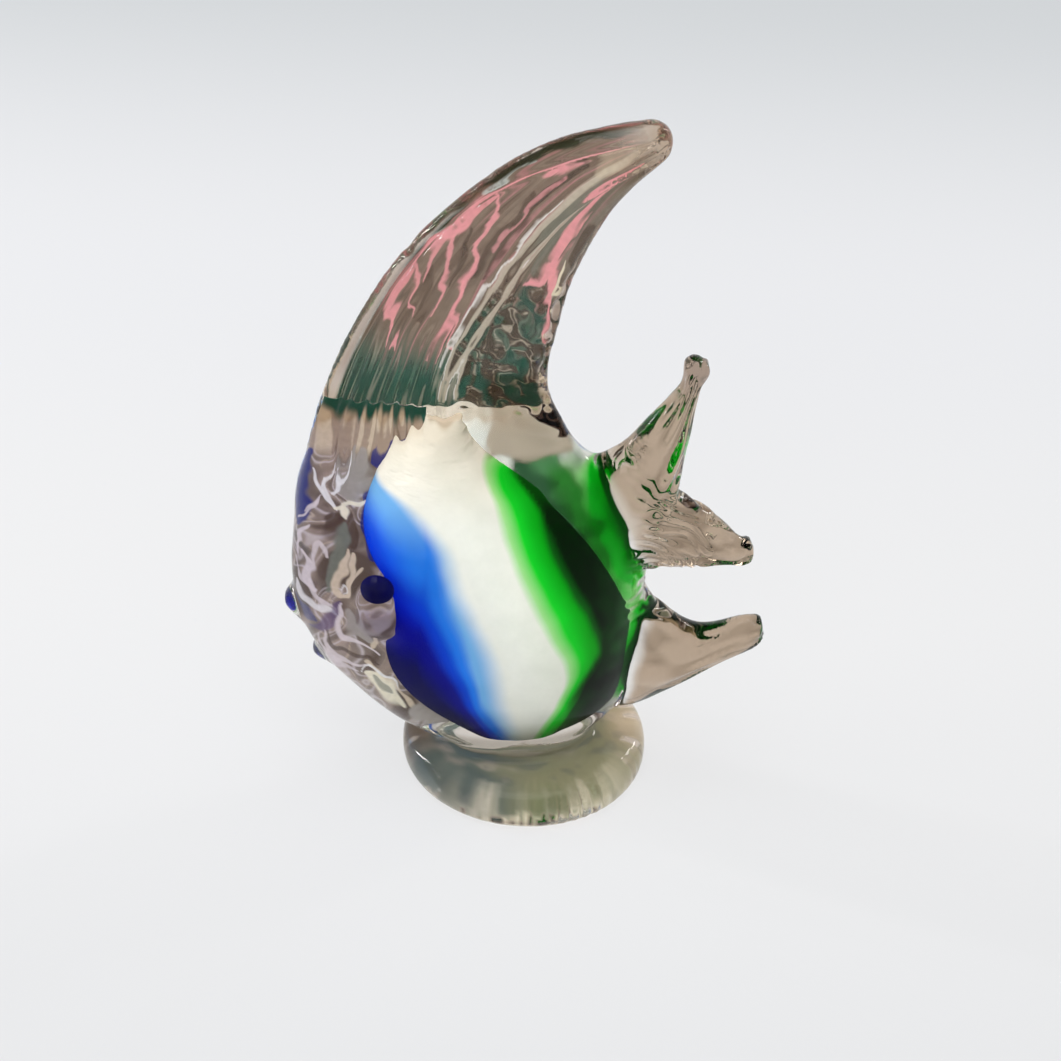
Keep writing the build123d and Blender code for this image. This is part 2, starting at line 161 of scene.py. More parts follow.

# Threads in the dorsal fin, with painted highlights along its ridge: colour, strength, half width in
# millimetres, and pixels across and down on the enlarged crop of the photograph
dorsal_strokes = (
    ("moss", 0.95, 0.95, ((895, 50), (800, 58), (650, 90), (540, 130), (400, 210), (330, 280), (250, 360))),
    ("moss", 0.90, 0.7, ((280, 330), (200, 410), (140, 500), (90, 600), (60, 700))),
    ("umber", 0.70, 0.8, ((700, 140), (600, 200), (520, 280), (470, 350), (430, 430))),
    ("umber", 0.70, 0.7, ((560, 215), (480, 300), (430, 380), (400, 430))),
    ("umber", 0.70, 0.7, ((400, 300), (370, 380), (340, 450))),
    ("umber", 0.60, 0.7, ((300, 400), (280, 460), (260, 540))),
    ("pink", 0.60, 0.35, ((640, 165), (560, 230), (500, 300), (450, 360))),
    ("pink", 0.95, 0.8, ((830, 85), (700, 120), (600, 160), (520, 182), (470, 215))),
    ("pink", 0.95, 1.15, ((510, 188), (450, 225), (410, 250), (375, 280))),
    ("pink", 0.95, 0.9, ((430, 245), (385, 290), (330, 325), (290, 350), (250, 395))),
    ("pink", 0.90, 0.6, ((470, 215), (450, 290), (415, 340), (400, 400), (375, 450), (350, 530), (345, 615))),
    ("pink", 0.85, 0.5, ((385, 265), (350, 330), (338, 400), (318, 470), (298, 530))),
    ("pink", 0.90, 0.85, ((270, 378), (232, 430), (208, 470), (192, 530), (190, 615))),
    ("pink", 0.80, 0.4, ((262, 385), (256, 430), (245, 480), (250, 526))),
    ("pink", 0.85, 0.5, ((405, 380), (372, 450), (340, 530), (303, 645))),
    ("pink", 0.80, 0.4, ((335, 322), (300, 380), (273, 435))),
    ("slate", 0.60, 1.8, ((560, 420), (600, 330), (660, 250), (730, 185))),
    # Painted highlights on the ridge: a pale band, and a bright line beside it
    ("mist", 0.80, 1.1, ((335, 745), (350, 640), (385, 570), (440, 480), (505, 390), (575, 305), (650, 225),
        (750, 150), (835, 105))),
    ("chalk", 0.90, 0.3, ((328, 745), (338, 640), (368, 560), (420, 470), (485, 385), (555, 300),
        (630, 225))),
    ("umber", 0.60, 0.45, ((370, 640), (410, 560), (465, 480), (525, 400), (595, 310))),
    ("sand", 0.35, 2.2, ((720, 156), (790, 112), (865, 85))),
    ("umber", 0.70, 0.9, ((710, 285), (665, 350), (642, 405))),
    ("pink", 0.95, 0.8, ((845, 138), (780, 178), (720, 222), (680, 270), (640, 328), (612, 380), (595, 435))),
    ("pink", 0.95, 0.8, ((605, 390), (598, 430), (588, 500), (582, 560), (582, 645))),
    ("pink", 0.95, 0.85, ((535, 452), (575, 428), (605, 390))),
    ("cream", 0.95, 0.5, ((628, 385), (622, 430), (605, 470), (645, 445))),
    ("cream", 0.95, 0.5, ((610, 450), (632, 500), (600, 520), (645, 520))),
    ("cream", 0.80, 0.4, ((582, 585), (600, 572), (645, 560))),
)

# Strokes in the face veil's painted refraction of its surroundings, the chalk and cream ones painted
# highlights:
# colour, strength, half width, and places along and up the fish, all in millimetres
face_strokes = (
    ("ink", 0.95, 2.2, ((-51, 87), (-52, 80), (-52.4, 74.5), (-52.8, 67))),
    ("ink", 0.85, 0.9, ((-36.8, 79), (-38.1, 71.4), (-37.5, 65.8), (-35.5, 60))),
    ("ink", 0.80, 1.2, ((-36.5, 85), (-34, 88), (-31.5, 91))),
    ("fog", 0.90, 3.6, ((-40.5, 87), (-40.5, 80), (-40, 76))),
    ("umber", 0.85, 3.4, ((-46.5, 70.5), (-43.5, 68.5), (-40.5, 64))),
    ("slate", 0.90, 1.5, ((-43.6, 69), (-43.2, 64.5), (-44, 59), (-46, 50))),
    ("fog", 0.90, 3.0, ((-41, 45), (-38.4, 41.2), (-36.5, 38.5))),
    # Painted highlights: the bright hooks and lines at the face's ribs, in chalk and cream
    ("chalk", 0.95, 0.5, ((-50, 82), (-48.8, 79), (-47.4, 76.5), (-46, 72.5))),
    ("chalk", 0.90, 0.7, ((-47, 80), (-46.5, 76.2), (-45.5, 72.5))),
    ("chalk", 0.95, 0.6, ((-41.8, 87), (-41.9, 82.7), (-43, 79.8), (-45, 77))),
    ("chalk", 0.80, 0.4, ((-45, 84), (-45.7, 81), (-47.8, 78))),
    ("cream", 0.95, 0.7, ((-46, 72.5), (-43, 74.2), (-40.5, 74.6), (-37.5, 75.3))),
    ("cream", 1.00, 1.1, ((-43.5, 74.3), (-43.2, 70.8))),
    ("lavender", 0.8, 0.35, ((-53, 68.5), (-51.2, 71.4), (-49.4, 74.5), (-48, 76.5))),
    ("lavender", 0.8, 0.35, ((-52.2, 70.8), (-50, 73.9), (-48.5, 75.5))),
    ("sand", 0.90, 1.0, ((-41.4, 62.5), (-41.9, 57.6), (-43.4, 54.2), (-44.7, 51.4), (-43, 49.2))),
    ("sand", 0.90, 0.8, ((-40.3, 61.8), (-40, 57.6), (-40.5, 53.5), (-41, 50), (-43.2, 49.2))),
    ("sand", 0.85, 0.5, ((-40.2, 52.5), (-39, 55), (-37.8, 57.2))),
    ("chalk", 0.70, 0.3, ((-43.4, 51), (-42, 52.8), (-41.2, 51.4), (-42.6, 50))),
    ("lavender", 0.9, 0.7, ((-50.6, 67), (-52.2, 63), (-53.2, 59))),
    ("lavender", 0.9, 1.0, ((-51.4, 60.5), (-50, 56.2), (-50.6, 52.8), (-48.5, 49.5))),
    ("lavender", 0.8, 0.6, ((-48.9, 57), (-48.2, 61.8), (-46.8, 63.2), (-45.8, 59.5))),
    ("lavender", 0.8, 0.5, ((-53.8, 58), (-52.8, 53.5), (-51.2, 51.4), (-48, 50))),
    ("chalk", 0.85, 0.7, ((-53.8, 52), (-51.9, 47.8), (-48.8, 45.7), (-44.5, 44.2))),
    ("lavender", 0.8, 0.6, ((-50, 53), (-49.4, 49.2), (-47, 46.4), (-44.5, 45))),
    ("ink", 0.70, 1.5, ((-54.3, 47), (-51.6, 43.8), (-48.8, 41.2))),
    ("violet", 0.7, 1.1, ((-50.4, 39.5), (-46.5, 41), (-43, 47.5))),
    ("lavender", 0.85, 0.6, ((-42.6, 47.2), (-44, 42.5), (-42.6, 39), (-39, 37), (-34.5, 34.8))),
    ("sand", 0.80, 0.9, ((-34.8, 41.5), (-35.4, 38), (-36, 36))),
    ("lavender", 0.8, 0.6, ((-46.2, 39.6), (-45, 35.5), (-41.5, 32.3), (-37, 32.3))),
    ("lavender", 0.7, 0.5, ((-48, 38), (-45.4, 33.6), (-41.5, 31), (-38.2, 30.6))),
    ("umber", 0.80, 0.4, ((-45.4, 40), (-44, 36.2), (-40, 34.2), (-34, 33))),
    ("sand", 0.85, 0.6, ((-37.4, 33), (-34.2, 31), (-29, 25), (-25, 20.4))),
    # Painted highlight along the chin strip, in cream, with a chalk line beside it
    ("cream", 0.95, 1.8, ((-36.2, 30.2), (-33, 27.6), (-30.3, 24.3), (-27.5, 21.2))),
    ("slate", 0.70, 0.7, ((-34.6, 29), (-32.4, 26.6), (-30.2, 24))),
    ("chalk", 0.90, 0.35, ((-37.4, 30.4), (-36.6, 32.3), (-34.2, 31), (-31, 28.2), (-29.4, 25.5))),
    ("fog", 1.00, 3.6, ((-25, 19.8), (-20.6, 18.8), (-15.6, 16.2))),
)

# Edges of the core's paint, in millimetres: height, then place along the fish
white_front_edge = (
    (94, -46), (88, -40), (83.5, -34.5), (79, -24.5), (74, -20), (69, -17), (64, -15.5), (56, -12), (48, -8.5),
    (37, -4.8), (28, -2.8), (20, -1.2),
)
white_rear_edge = (
    (97, -2), (94, -8), (91, -13), (80, -9.6), (64, -4.3), (54, 0.4), (44, 5.5), (34, 8.6), (27, 6.2),
    (21, 3.6),
)
bright_green_edge = (
    (97, 6), (94, 0), (91, -7), (86, -7), (77, -0.5), (69, 3.2), (64, 5.4), (58, 8.4), (50, 13), (43, 15.6),
    (37, 16), (31, 13.3), (22, 9),
)

# Relief on the clear glass, in metres
rib_depth = 0.00042
thread_depth = 0.00006
groove_depth = 0.0010
ridge_height = 0.0013
ridge_gutter_depth = 0.0011
rear_line_depth = 0.0003
hammered_depth = 0.00026
fin_wave_depth = 0.00010
root_fold_depth = 0.00036
fin_streak_depth = 0.00040
face_wave_depth = 0.00026
body_wave_depth = 0.00006
bead_wave_depth = 0.00016
rim_flute_depth = 0.00022
foot_wave_depth = 0.00012

# Rounds of smoothing on the fused glass: the whole skin (two), the body's joints, and the finer fins
steadying_rounds = 6
relaxing_rounds = 5
joint_rounds = 17
finer_rounds = 4

# The floor lies this far under the foot
floor_drop = 0.0003

# Photograph's camera
camera_place = (-0.001052, -0.34239, 0.29829)
camera_target = (-0.001052, 0.0, 0.067348)
camera_roll = radians(3)
camera_lens = 59.33
camera_sensor = 36.0

# Photograph, and the crop of it that the dorsal fin's threads were placed on, in pixels
picture_side = 1061
crop_corner = (320, 110)
crop_enlargement = 2.6


def size(name, default, description):
    """A length that a user can change."""
    return FloatProperty(
        name=name, description=description, default=default, min=0, precision=4, unit="LENGTH"
    )


def tint(name, default, description):
    """A colour that a user can change."""
    return FloatVectorProperty(
        name=name, description=description, default=default, min=0, max=1, subtype="COLOR"
    )


def power(name, default, description):
    """A lamp's power that a user can change."""
    return FloatProperty(name=name, description=description, default=default, min=0, unit="POWER")


class FishSizes(bpy.types.PropertyGroup):
    """The fish's own sizes."""

    foot_radius: size("Foot radius", 0.031, "Radius of the round foot")
    foot_thickness: size("Foot thickness", 0.0095, "Height of the foot's rim")
    foot_lower_edge: size("Foot lower edge", 0.002, "Rounding of the foot's lower edge")
    foot_shoulder: size("Foot shoulder", 0.005, "Rounding of the foot's upper edge")
    collar_length: size("Collar length", 0.038, "Length of the waist over the foot")
    collar_width: size("Collar width", 0.0315, "Width of the waist over the foot")
    collar_flare: size("Collar flare", 0.0032, "How far the waist spreads onto the foot")
    collar_height: size("Collar height", 0.005, "Height of the waist")
    collar_behind: size("Collar set forward", 0.003, "How far the waist is ahead of the foot's centre")
    neck_web: size("Neck web", 0.0015, "Glass between the foot and the body's base")
    body_length: size("Body length", 0.0857, "Length of the body")
    body_height: size("Body height", 0.095, "Height of the body")
    body_thickness: size("Body thickness", 0.041, "Thickness of the body")
    body_forward: size("Body set forward", 0.0154, "How far the body's middle is ahead of the foot's centre")
    dorsal_length: size("Dorsal fin length", 0.076, "Length of the fin over the body")
    dorsal_height: size("Dorsal fin height", 0.064, "Height of the fin over the body")
    dorsal_thickness: size("Dorsal fin thickness", 0.0165, "Thickness of the fin near its root")
    dorsal_tip_radius: size("Dorsal tip radius", 0.005, "Radius of the ball at the fin's tip")
    tail_length: size("Tail length", 0.036, "Length of the tail fin")
    tail_height: size("Tail height", 0.058, "Height of the tail fin")
    tail_thickness: size("Tail thickness", 0.017, "Thickness of the tail fin at its root")
    anal_length: size("Anal fin length", 0.036, "Length of the anal fin")
    anal_height: size("Anal fin height", 0.042, "Height of the anal fin")
    anal_thickness: size("Anal fin thickness", 0.017, "Thickness of the anal fin at its root")
    lip_length: size("Lip length", 0.011, "How far the upper lip reaches")
    lip_height: size("Lip height", 0.0135, "Height of the upper lip")
    lip_thickness: size("Lip thickness", 0.013, "Thickness of the upper lip")
    lower_lip_height: size("Lower lip height", 0.0115, "Height of the lower lip")
    lower_lip_thickness: size("Lower lip thickness", 0.011, "Thickness of the lower lip")
    nose_wall: size("Nose wall", 0.025, "Clear glass between the nose and the core")
    floor_wall: size("Floor wall", 0.003, "Clear glass under the core")
    crown_wall: size("Crown wall", 0.008, "Clear glass over the core")
    veil_thickness: size("Veil thickness", 0.0008, "Thickness of the coloured sheets in the fin and the face")
    veil_skin_gap: size("Veil to skin", 0.0018, "Clear glass between the face veil and the nose")
    veil_core_lap: size("Veil into core", 0.0006, "How far the face veil runs on under the core's skin")
    veil_crown_gap: size("Veil to veil", 0.00005, "Clear glass between the face veil and the dorsal veil")
    veil_rim: size("Veil to rim", 0.0020, "Clear glass between the dorsal veil and the fin's edges, at most")
    eye_cover_radius: size("Eye cover radius", 0.0066, "Radius of the clear glass over the pupil")
    eye_bead_radius: size("Eye bead radius", 0.0078, "Radius of the bead that has sagged below the pupil")
    eye_inset: size("Eye inset", 0.0046, "How far the middle of the eye's glass lies inside the casing's skin")
    eye_bead_fall: size("Eye bead fall", 0.0085, "How far the bead hangs below the pupil")
    eye_bead_drift: size("Eye bead drift", 0.002, "How far the bead has slid to the rear")
    eye_bead_proud: size("Eye bead stand", 0.0004, "How far the bead stands further out than the pupil")
    glass_grain: size("Glass grain", 0.00094, "Grain at which the gathers of glass are fused")


class FishColours(bpy.types.PropertyGroup):
    """The fish's own colours."""

    clear: tint("Clear", (0.93, 0.92, 0.89), "Clear glass over the core")
    # Painted refraction: the fins' warm cast stands in for a warm room seen through clear glass
    fin: tint("Fins", (0.55, 0.43, 0.32), "Warm glass of the fins")
    leaf: tint("Rear rim", (0.012, 0.10, 0.018), "Green cast of the rear rim")
    # Painted reflection: the core's colours as seen in the foot's underside, teal in front and olive behind
    foot_front_reflection: tint("Foot front", (0.035, 0.080, 0.090), "Teal cast of the foot under the face")
    foot_rear_reflection: tint("Foot rear", (0.19, 0.215, 0.135), "Olive cast of the foot under the tail")
    # Painted refraction: the dorsal veil's taupe ground stands in for a dim warm room seen through the fin
    taupe: tint("Taupe", (0.26, 0.20, 0.155), "Brown glass of the dorsal fin")
    pink: tint("Pink", (0.95, 0.42, 0.46), "Pink threads in the dorsal fin")
    teal: tint("Teal", (0.012, 0.085, 0.06), "Teal in the dorsal fin")
    moss: tint("Moss", (0.045, 0.062, 0.035), "Dark green line along the dorsal fin's leading edge")
    # Cream threads, and painted highlights in the face
    cream: tint("Cream", (0.95, 0.90, 0.72), "Cream threads")
    # Painted sheen: the pale band along the dorsal ridge; the same colour also lightens streaks and veins in
    # the fin
    mist: tint("Mist", (0.66, 0.61, 0.51), "Pale band along the dorsal ridge")
    # Painted refraction: the ground of the face veil, standing in for darker surroundings seen in the face
    face_refraction_grey: tint("Smoke", (0.30, 0.235, 0.195), "Grey brown glass of the face")
    umber: tint("Umber", (0.085, 0.052, 0.036), "Dark brown glass")
    fog: tint("Fog", (0.40, 0.37, 0.34), "Pale grey glass")
    slate: tint("Slate", (0.20, 0.22, 0.18), "Grey green glass")
    sand: tint("Sand", (0.78, 0.66, 0.50), "Beige threads")
    # White threads, and painted highlights: the line on the dorsal ridge and the hooks in the face
    chalk: tint("Chalk", (0.95, 0.95, 0.95), "White threads")
    # Lavender, violet and ink are drawn only in the face veil's painted refraction
    lavender: tint("Lavender", (0.84, 0.77, 0.79), "Pale threads in the face")
    violet: tint("Violet", (0.10, 0.055, 0.20), "Violet threads in the face")
    ink: tint("Ink", (0.004, 0.014, 0.20), "Dark blue in the face")
    # Painted highlight: the colour of the glints along the dorsal fin's leading edge
    glint_highlight: tint("Ice", (0.70, 0.82, 0.82), "Bright line along the dorsal fin's leading edge")
    navy: tint("Navy", (0.001, 0.0006, 0.05), "Pupils")


class StudioLook(bpy.types.PropertyGroup):
    """The studio's light and ground."""

    top_power: power("Top lamp", 18, "Power of the lamp overhead")
    side_power: power("Side lamp", 5, "Power of the lamp at the left")
    strip_power: power("Strip lamp", 3, "Power of the long lamp at the left")
    rear_power: power("Rear lamp", 4, "Power of the lamp at the right")
    front_power: power("Front lamp", 9, "Power of the soft lamp in front")
    ground: tint("Ground", (0.775, 0.78, 0.79), "Floor and backdrop")
    ceiling: tint("Ceiling", (0.14, 0.12, 0.10), "Room above the backdrop")


def sizes():
    return bpy.context.scene.glass_fish_sizes


def colours():
    return bpy.context.scene.glass_fish_colours


def smooth_through(rows, places):
    """Natural cubic spline through the rows, read at places counted in rows.

    The second derivatives at the rows solve the usual three-term system and are nought at both ends.
    """
    rows = np.asarray(rows, float)
    count = len(rows)
    inner = np.arange(1, count - 1)
    system = np.eye(count)
    system[inner, inner] = 4
    system[inner, inner - 1] = system[inner, inner + 1] = 1
    known = np.zeros_like(rows)
    known[inner] = 6 * (rows[inner - 1] - 2 * rows[inner] + rows[inner + 1])
    bend = np.linalg.solve(system, known)
    first = np.clip(np.floor(places).astype(int), 0, count - 2)
    step = (places - first)[:, None]
    rest = 1 - step
    return (
        rest * rows[first]
        + step * rows[first + 1]
        + ((rest**3 - rest) * bend[first] + (step**3 - step) * bend[first + 1]) / 6
    )


def ease(low, high, value):
    """From 0 at low to 1 at high, as three times the square less twice the cube of the share between them."""
    share = np.clip((value - low) / (high - low), 0, 1)
    return share * share * (3 - 2 * share)


def held(low, full, fading, high, value):
    """0 up to low, 1 from full to fading, and 0 again from high on."""
    return ease(low, full, value) * ease(high, fading, value)


def bump_at(middle, width, value):
    """A bell curve of height 1 round the middle."""
    return np.exp(-(((value - middle) / width) ** 2))


def ripple(points, wavelength, seed, waves=14):
    """Rolling noise between about -1 and 1.

    It is the mean of plane waves in seeded directions, times the root of their number.
    """
    chance = np.random.default_rng(seed)
    ways = chance.normal(size=(waves, 3))
    ways /= np.linalg.norm(ways, axis=1)[:, None]
    pace = 2 * pi / (wavelength * chance.uniform(0.7, 1.5, waves))
    start = chance.uniform(0, 2 * pi, waves)
    return np.sin(points @ (ways * pace[:, None]).T + start).sum(1) / waves**0.5


def placed_rows(shares, anchor, length, height, thickness):
    """Rows of front edge, rear edge and thickness, in place, from shares of a bit's own sizes."""
    return np.asarray(shares) * (length, height, length, height, thickness) + (*anchor, *anchor, 0)


def ball_rows(centre, radius, lean):
    """Rows that close a drawn end with half a ball; lean is the way the end points, from +X up."""
    turn = np.array((0, pi / 9, 2 * pi / 9, pi / 3, 5 * pi / 12, 17 * pi / 36))
    out, half = radius * np.sin(turn), radius * np.cos(turn)
    x, z = centre[0] + out * cos(lean), centre[1] + out * sin(lean)
    side_x, side_z = half * sin(lean), half * cos(lean)
    return np.stack((x - side_x, z + side_z, x + side_x, z - side_z, 2 * half), 1)


def drawn_rings(rows, along, around):
    """Rings of a drawn bit: at each row an oval of its thickness, from the front edge to the rear one.

    Round the ring the share across is half of one less the turn's cosine, and the depth follows its sine.
    """
    line = smooth_through(rows, np.linspace(0, len(rows) - 1, along))[:, None]
    turn = np.arange(around) * 2 * pi / around
    share = ((1 - np.cos(turn)) / 2)[None, :, None]
    middle = line[..., 0:2] + (line[..., 2:4] - line[..., 0:2]) * share
    depth = line[..., 4] / 2 * np.sin(turn)
    return np.stack((middle[..., 0], depth, middle[..., 1]), -1)


def oval_rings(sections, around):
    """Level ovals of half length and half thickness round a centre, one for each height."""
    height, centre, half_length, half_thickness = (column[:, None] for column in np.asarray(sections, float).T)
    turn = np.arange(around) * 2 * pi / around
    return np.stack(
        (centre + half_length * np.cos(turn), half_thickness * np.sin(turn), height + 0 * turn),
        -1,
    )


def turned_rings(start, way, profile, around):
    """Rings of a profile of distance along and radius, turned about the line from start in the given way."""
    way = np.asarray(way, float) / np.linalg.norm(way)
    aside = np.cross(way, (0.0, 0.0, 1.0) if abs(way[2]) < 0.9 else (1.0, 0.0, 0.0))
    aside /= np.linalg.norm(aside)
    over = np.cross(way, aside)
    turn = np.arange(around) * 2 * pi / around
    spoke = np.cos(turn)[:, None] * aside + np.sin(turn)[:, None] * over
    return np.asarray(start) + profile[:, 0, None, None] * way + profile[:, 1, None, None] * spoke


def skin(rings):
    """Points and faces of a closed skin: quads between neighbouring rings, and a fan over each end."""
    count, around, _ = rings.shape
    number = np.arange(count * around).reshape(count, around)
    here, there = number[:-1], number[1:]
    quads = np.stack((here, np.roll(here, -1, 1), np.roll(there, -1, 1), there), -1).reshape(-1, 4)
    first, last = count * around, count * around + 1
    low_fan = np.stack((np.roll(number[0], -1), number[0], np.full(around, first)), -1)
    high_fan = np.stack((number[-1], np.roll(number[-1], -1), np.full(around, last)), -1)
    points = np.concatenate((rings.reshape(-1, 3), rings[[0, -1]].mean(1)))
    return points, quads.tolist() + low_fan.tolist() + high_fan.tolist()


def mesh_of(name, skins):
    """One mesh of several closed skins, facing outwards."""
    points, faces = [], []
    for some_points, some_faces in skins:
        start = sum(len(p) for p in points)
        points.append(some_points)
        faces += [[start + corner for corner in face] for face in some_faces]
    mesh = bpy.data.meshes.new(name)
    mesh.from_pydata(np.concatenate(points).tolist(), [], faces)
    outward = bmesh.new()
    outward.from_mesh(mesh)
    bmesh.ops.recalc_face_normals(outward, faces=outward.faces)
    outward.to_mesh(mesh)
    outward.free()
    mesh.shade_smooth()
    return mesh


def piece(name, mesh, slot, material, *replaced):
    """A finished piece on the fish, in the place of the solids that it stands for."""
    made = bpy.data.objects.new(name, mesh)
    bpy.context.scene.collection.objects.link(made)
    mesh.materials.clear()
    mesh.materials.append(material)
    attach(made, "root")
    if replaced:
        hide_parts(*replaced)
    return made


def points_of(mesh):
    """The mesh's points as rows of x, y, z."""
    points = np.empty(len(mesh.vertices) * 3)
    mesh.vertices.foreach_get("co", points)
    return points.reshape(-1, 3)


def move_points(mesh, points):
    """Puts the mesh's points at new places."""
    mesh.vertices.foreach_set("co", points.ravel())
    mesh.update()


def normals_of(mesh):
    """The mesh's normals, one for each point."""
    normals = np.empty(len(mesh.vertices) * 3, np.float32)
    mesh.vertex_normals.foreach_get("vector", normals)
    return normals.reshape(-1, 3).astype(float)


def edges_of(mesh):
    """The two points of every edge."""
    ends = np.empty(len(mesh.edges) * 2, np.int32)
    mesh.edges.foreach_get("vertices", ends)
    return ends.reshape(-1, 2)


def relaxed(points, edges, weight, rounds):
    """In each round every point moves by its weight towards the mean of its neighbours."""
    start, end = np.concatenate((edges, edges[:, ::-1])).T
    count = np.bincount(start, minlength=len(points))
    for _ in range(rounds):
        near = np.stack([np.bincount(start, points[end, axis], len(points)) / count for axis in range(3)], 1)
        points = points + weight[:, None] * (near - points)
    return points


def steadied(points, edges, rounds):
    """Takes the grain off without shrinking: a pull to the neighbours' mean, then a push nearly as large."""
    even = np.ones(len(points))
    for _ in range(rounds):
        points = relaxed(points, edges, 0.5 * even, 1)
        points = relaxed(points, edges, -0.53 * even, 1)
    return points


def body_anchor(place):
    """A point of the fish's outline, from shares of the body's length and height."""
    s = sizes()
    base = s.foot_thickness + s.neck_web
    return -s.body_forward + place[0] * s.body_length, base + place[1] * s.body_height


def casing_sections():
    """Height, centre, half length and half thickness of the casing, from base to crown."""
    s = sizes()
    base = s.foot_thickness + s.neck_web
    shares = np.asarray(casing_shares)
    scale = (s.body_height, s.body_length, s.body_length / 2, s.body_thickness / 2)
    return shares * scale + (base, -s.body_forward, 0, 0)


def dorsal_rows():
    """The dorsal fin's rows, with the half ball at its tip."""
    s = sizes()
    anchor = (-s.body_forward, s.foot_thickness + s.neck_web + s.body_height)
    rows = placed_rows(dorsal_shares, anchor, s.dorsal_length, s.dorsal_height, s.dorsal_thickness)
    tip = (
        anchor[0] + dorsal_tip_shares[0] * s.dorsal_length,
        anchor[1] + dorsal_tip_shares[1] * s.dorsal_height,
    )
    return np.concatenate((rows, ball_rows(tip, s.dorsal_tip_radius, dorsal_tip_lean)))


def rear_fin_rows():
    """The rows of the tail's upper and lower lobe and of the anal fin."""
    s = sizes()
    tail = (body_anchor(tail_place), s.tail_length, s.tail_height, s.tail_thickness)
    anal = (body_anchor(anal_place), s.anal_length, s.anal_height, s.anal_thickness)
    return (
        placed_rows(tail_upper_shares, *tail),
        placed_rows(tail_lower_shares, *tail),
        placed_rows(anal_shares, *anal),
    )


def eye_point(side):
    """Middle of the pupil: on the casing's skin at the eye's place."""
    x, z = body_anchor(eye_place)
    sections = casing_sections()
    shares = np.asarray(casing_shares)
    row = int(np.argmax(shares[:, 0] >= eye_place[1]))
    _, centre, half_length, half_thickness = sections[row]
    return np.array((x, side * half_thickness * (1 - ((x - centre) / half_length) ** 2) ** 0.5, z))


def bead_point(side):
    """Middle of the bead that has sagged below the pupil."""
    s = sizes()
    fall = (s.eye_bead_drift, side * (s.eye_bead_proud - s.eye_inset), -s.eye_bead_fall)
    return eye_point(side) + fall


def gathers():
    """The skins of all gathers of clear glass: foot, collar, casing, fins, lips and eye drops."""
    s = sizes()
    angle = np.linspace(0, pi / 2, 20)
    lower, shoulder = s.foot_lower_edge, s.foot_shoulder
    low_edge = np.stack(
        (lower * (1 - np.cos(angle)), s.foot_radius - lower + lower * np.sin(angle)), 1
    )
    high_edge = np.stack(
        (
            s.foot_thickness - shoulder + shoulder * np.sin(angle),
            s.foot_radius - shoulder + shoulder * np.cos(angle),
        ),
        1,
    )
    inner = np.linspace(0.2, 0.9, 8) * (s.foot_radius - shoulder)
    floor_line = np.stack((0 * inner, inner), 1)
    top_line = np.stack((0 * inner + s.foot_thickness, inner[::-1]), 1)
    foot_profile = np.concatenate((floor_line, low_edge, high_edge, top_line))
    skins = [skin(turned_rings((0, 0, 0), (0, 0, 1), foot_profile, 320))]

    rise, flare = smooth_through(collar_shares, np.linspace(0, len(collar_shares) - 1, 80)).T
    collar = np.stack(
        (
            s.foot_thickness + rise * s.collar_height,
            0 * rise - s.collar_behind,
            s.collar_length / 2 + flare * s.collar_flare,
            s.collar_width / 2 + flare * s.collar_flare,
        ),
        1,
    )
    skins.append(skin(oval_rings(collar, 256)))

    sections = casing_sections()
    casing = smooth_through(sections, np.linspace(0, len(sections) - 1, 320))
    skins.append(skin(oval_rings(casing, 400)))

    skins.append(skin(drawn_rings(dorsal_rows(), 320, 240)))
    for rows in rear_fin_rows():
        skins.append(skin(drawn_rings(rows, 180, 144)))
    upper = placed_rows(
        upper_lip_shares, body_anchor(upper_lip_place), s.lip_length, s.lip_height, s.lip_thickness
    )
    lower_lip = placed_rows(
        lower_lip_shares, body_anchor(lower_lip_place), s.lip_length, s.lower_lip_height, s.lower_lip_thickness
    )
    skins += [skin(drawn_rings(upper, 40, 48)), skin(drawn_rings(lower_lip, 40, 48))]

    for side in (-1, 1):
        fall = np.array((s.eye_bead_drift, side * s.eye_bead_proud, -s.eye_bead_fall))
        reach = np.linalg.norm(fall)
        lean = acos((s.eye_cover_radius - s.eye_bead_radius) / reach)
        cover, bead = np.linspace(pi * 0.97, lean, 48), np.linspace(lean, pi * 0.03, 48)
        profile = np.concatenate(
            (
                s.eye_cover_radius * np.stack((np.cos(cover), np.sin(cover)), 1),
                s.eye_bead_radius * np.stack((np.cos(bead), np.sin(bead)), 1) + (reach, 0),
            )
        )
        start = eye_point(side) - (0, side * s.eye_inset, 0)
        skins.append(skin(turned_rings(start, fall, profile, 128)))
    return skins


def fused(mesh, grain):
    """The gathers as one skin, with nothing left inside, drawn back onto the gathers' own skins."""
    scene = bpy.context.scene
    source = bpy.data.objects.new("gathers", mesh)
    scene.collection.objects.link(source)
    melt = source.modifiers.new("melt", "REMESH")
    melt.mode = "VOXEL"
    melt.voxel_size = grain
    melt.use_smooth_shade = True
    melted = bpy.data.meshes.new_from_object(source.evaluated_get(bpy.context.evaluated_depsgraph_get()))
    source.modifiers.clear()
    holder = bpy.data.objects.new("fused", melted)
    scene.collection.objects.link(holder)
    hug = holder.modifiers.new("hug", "SHRINKWRAP")
    hug.target = source
    hug.wrap_method = "NEAREST_SURFACEPOINT"
    bpy.context.view_layer.update()
    hugging = bpy.data.meshes.new_from_object(holder.evaluated_get(bpy.context.evaluated_depsgraph_get()))
    bpy.data.objects.remove(holder)
    bpy.data.objects.remove(source)
    return hugging


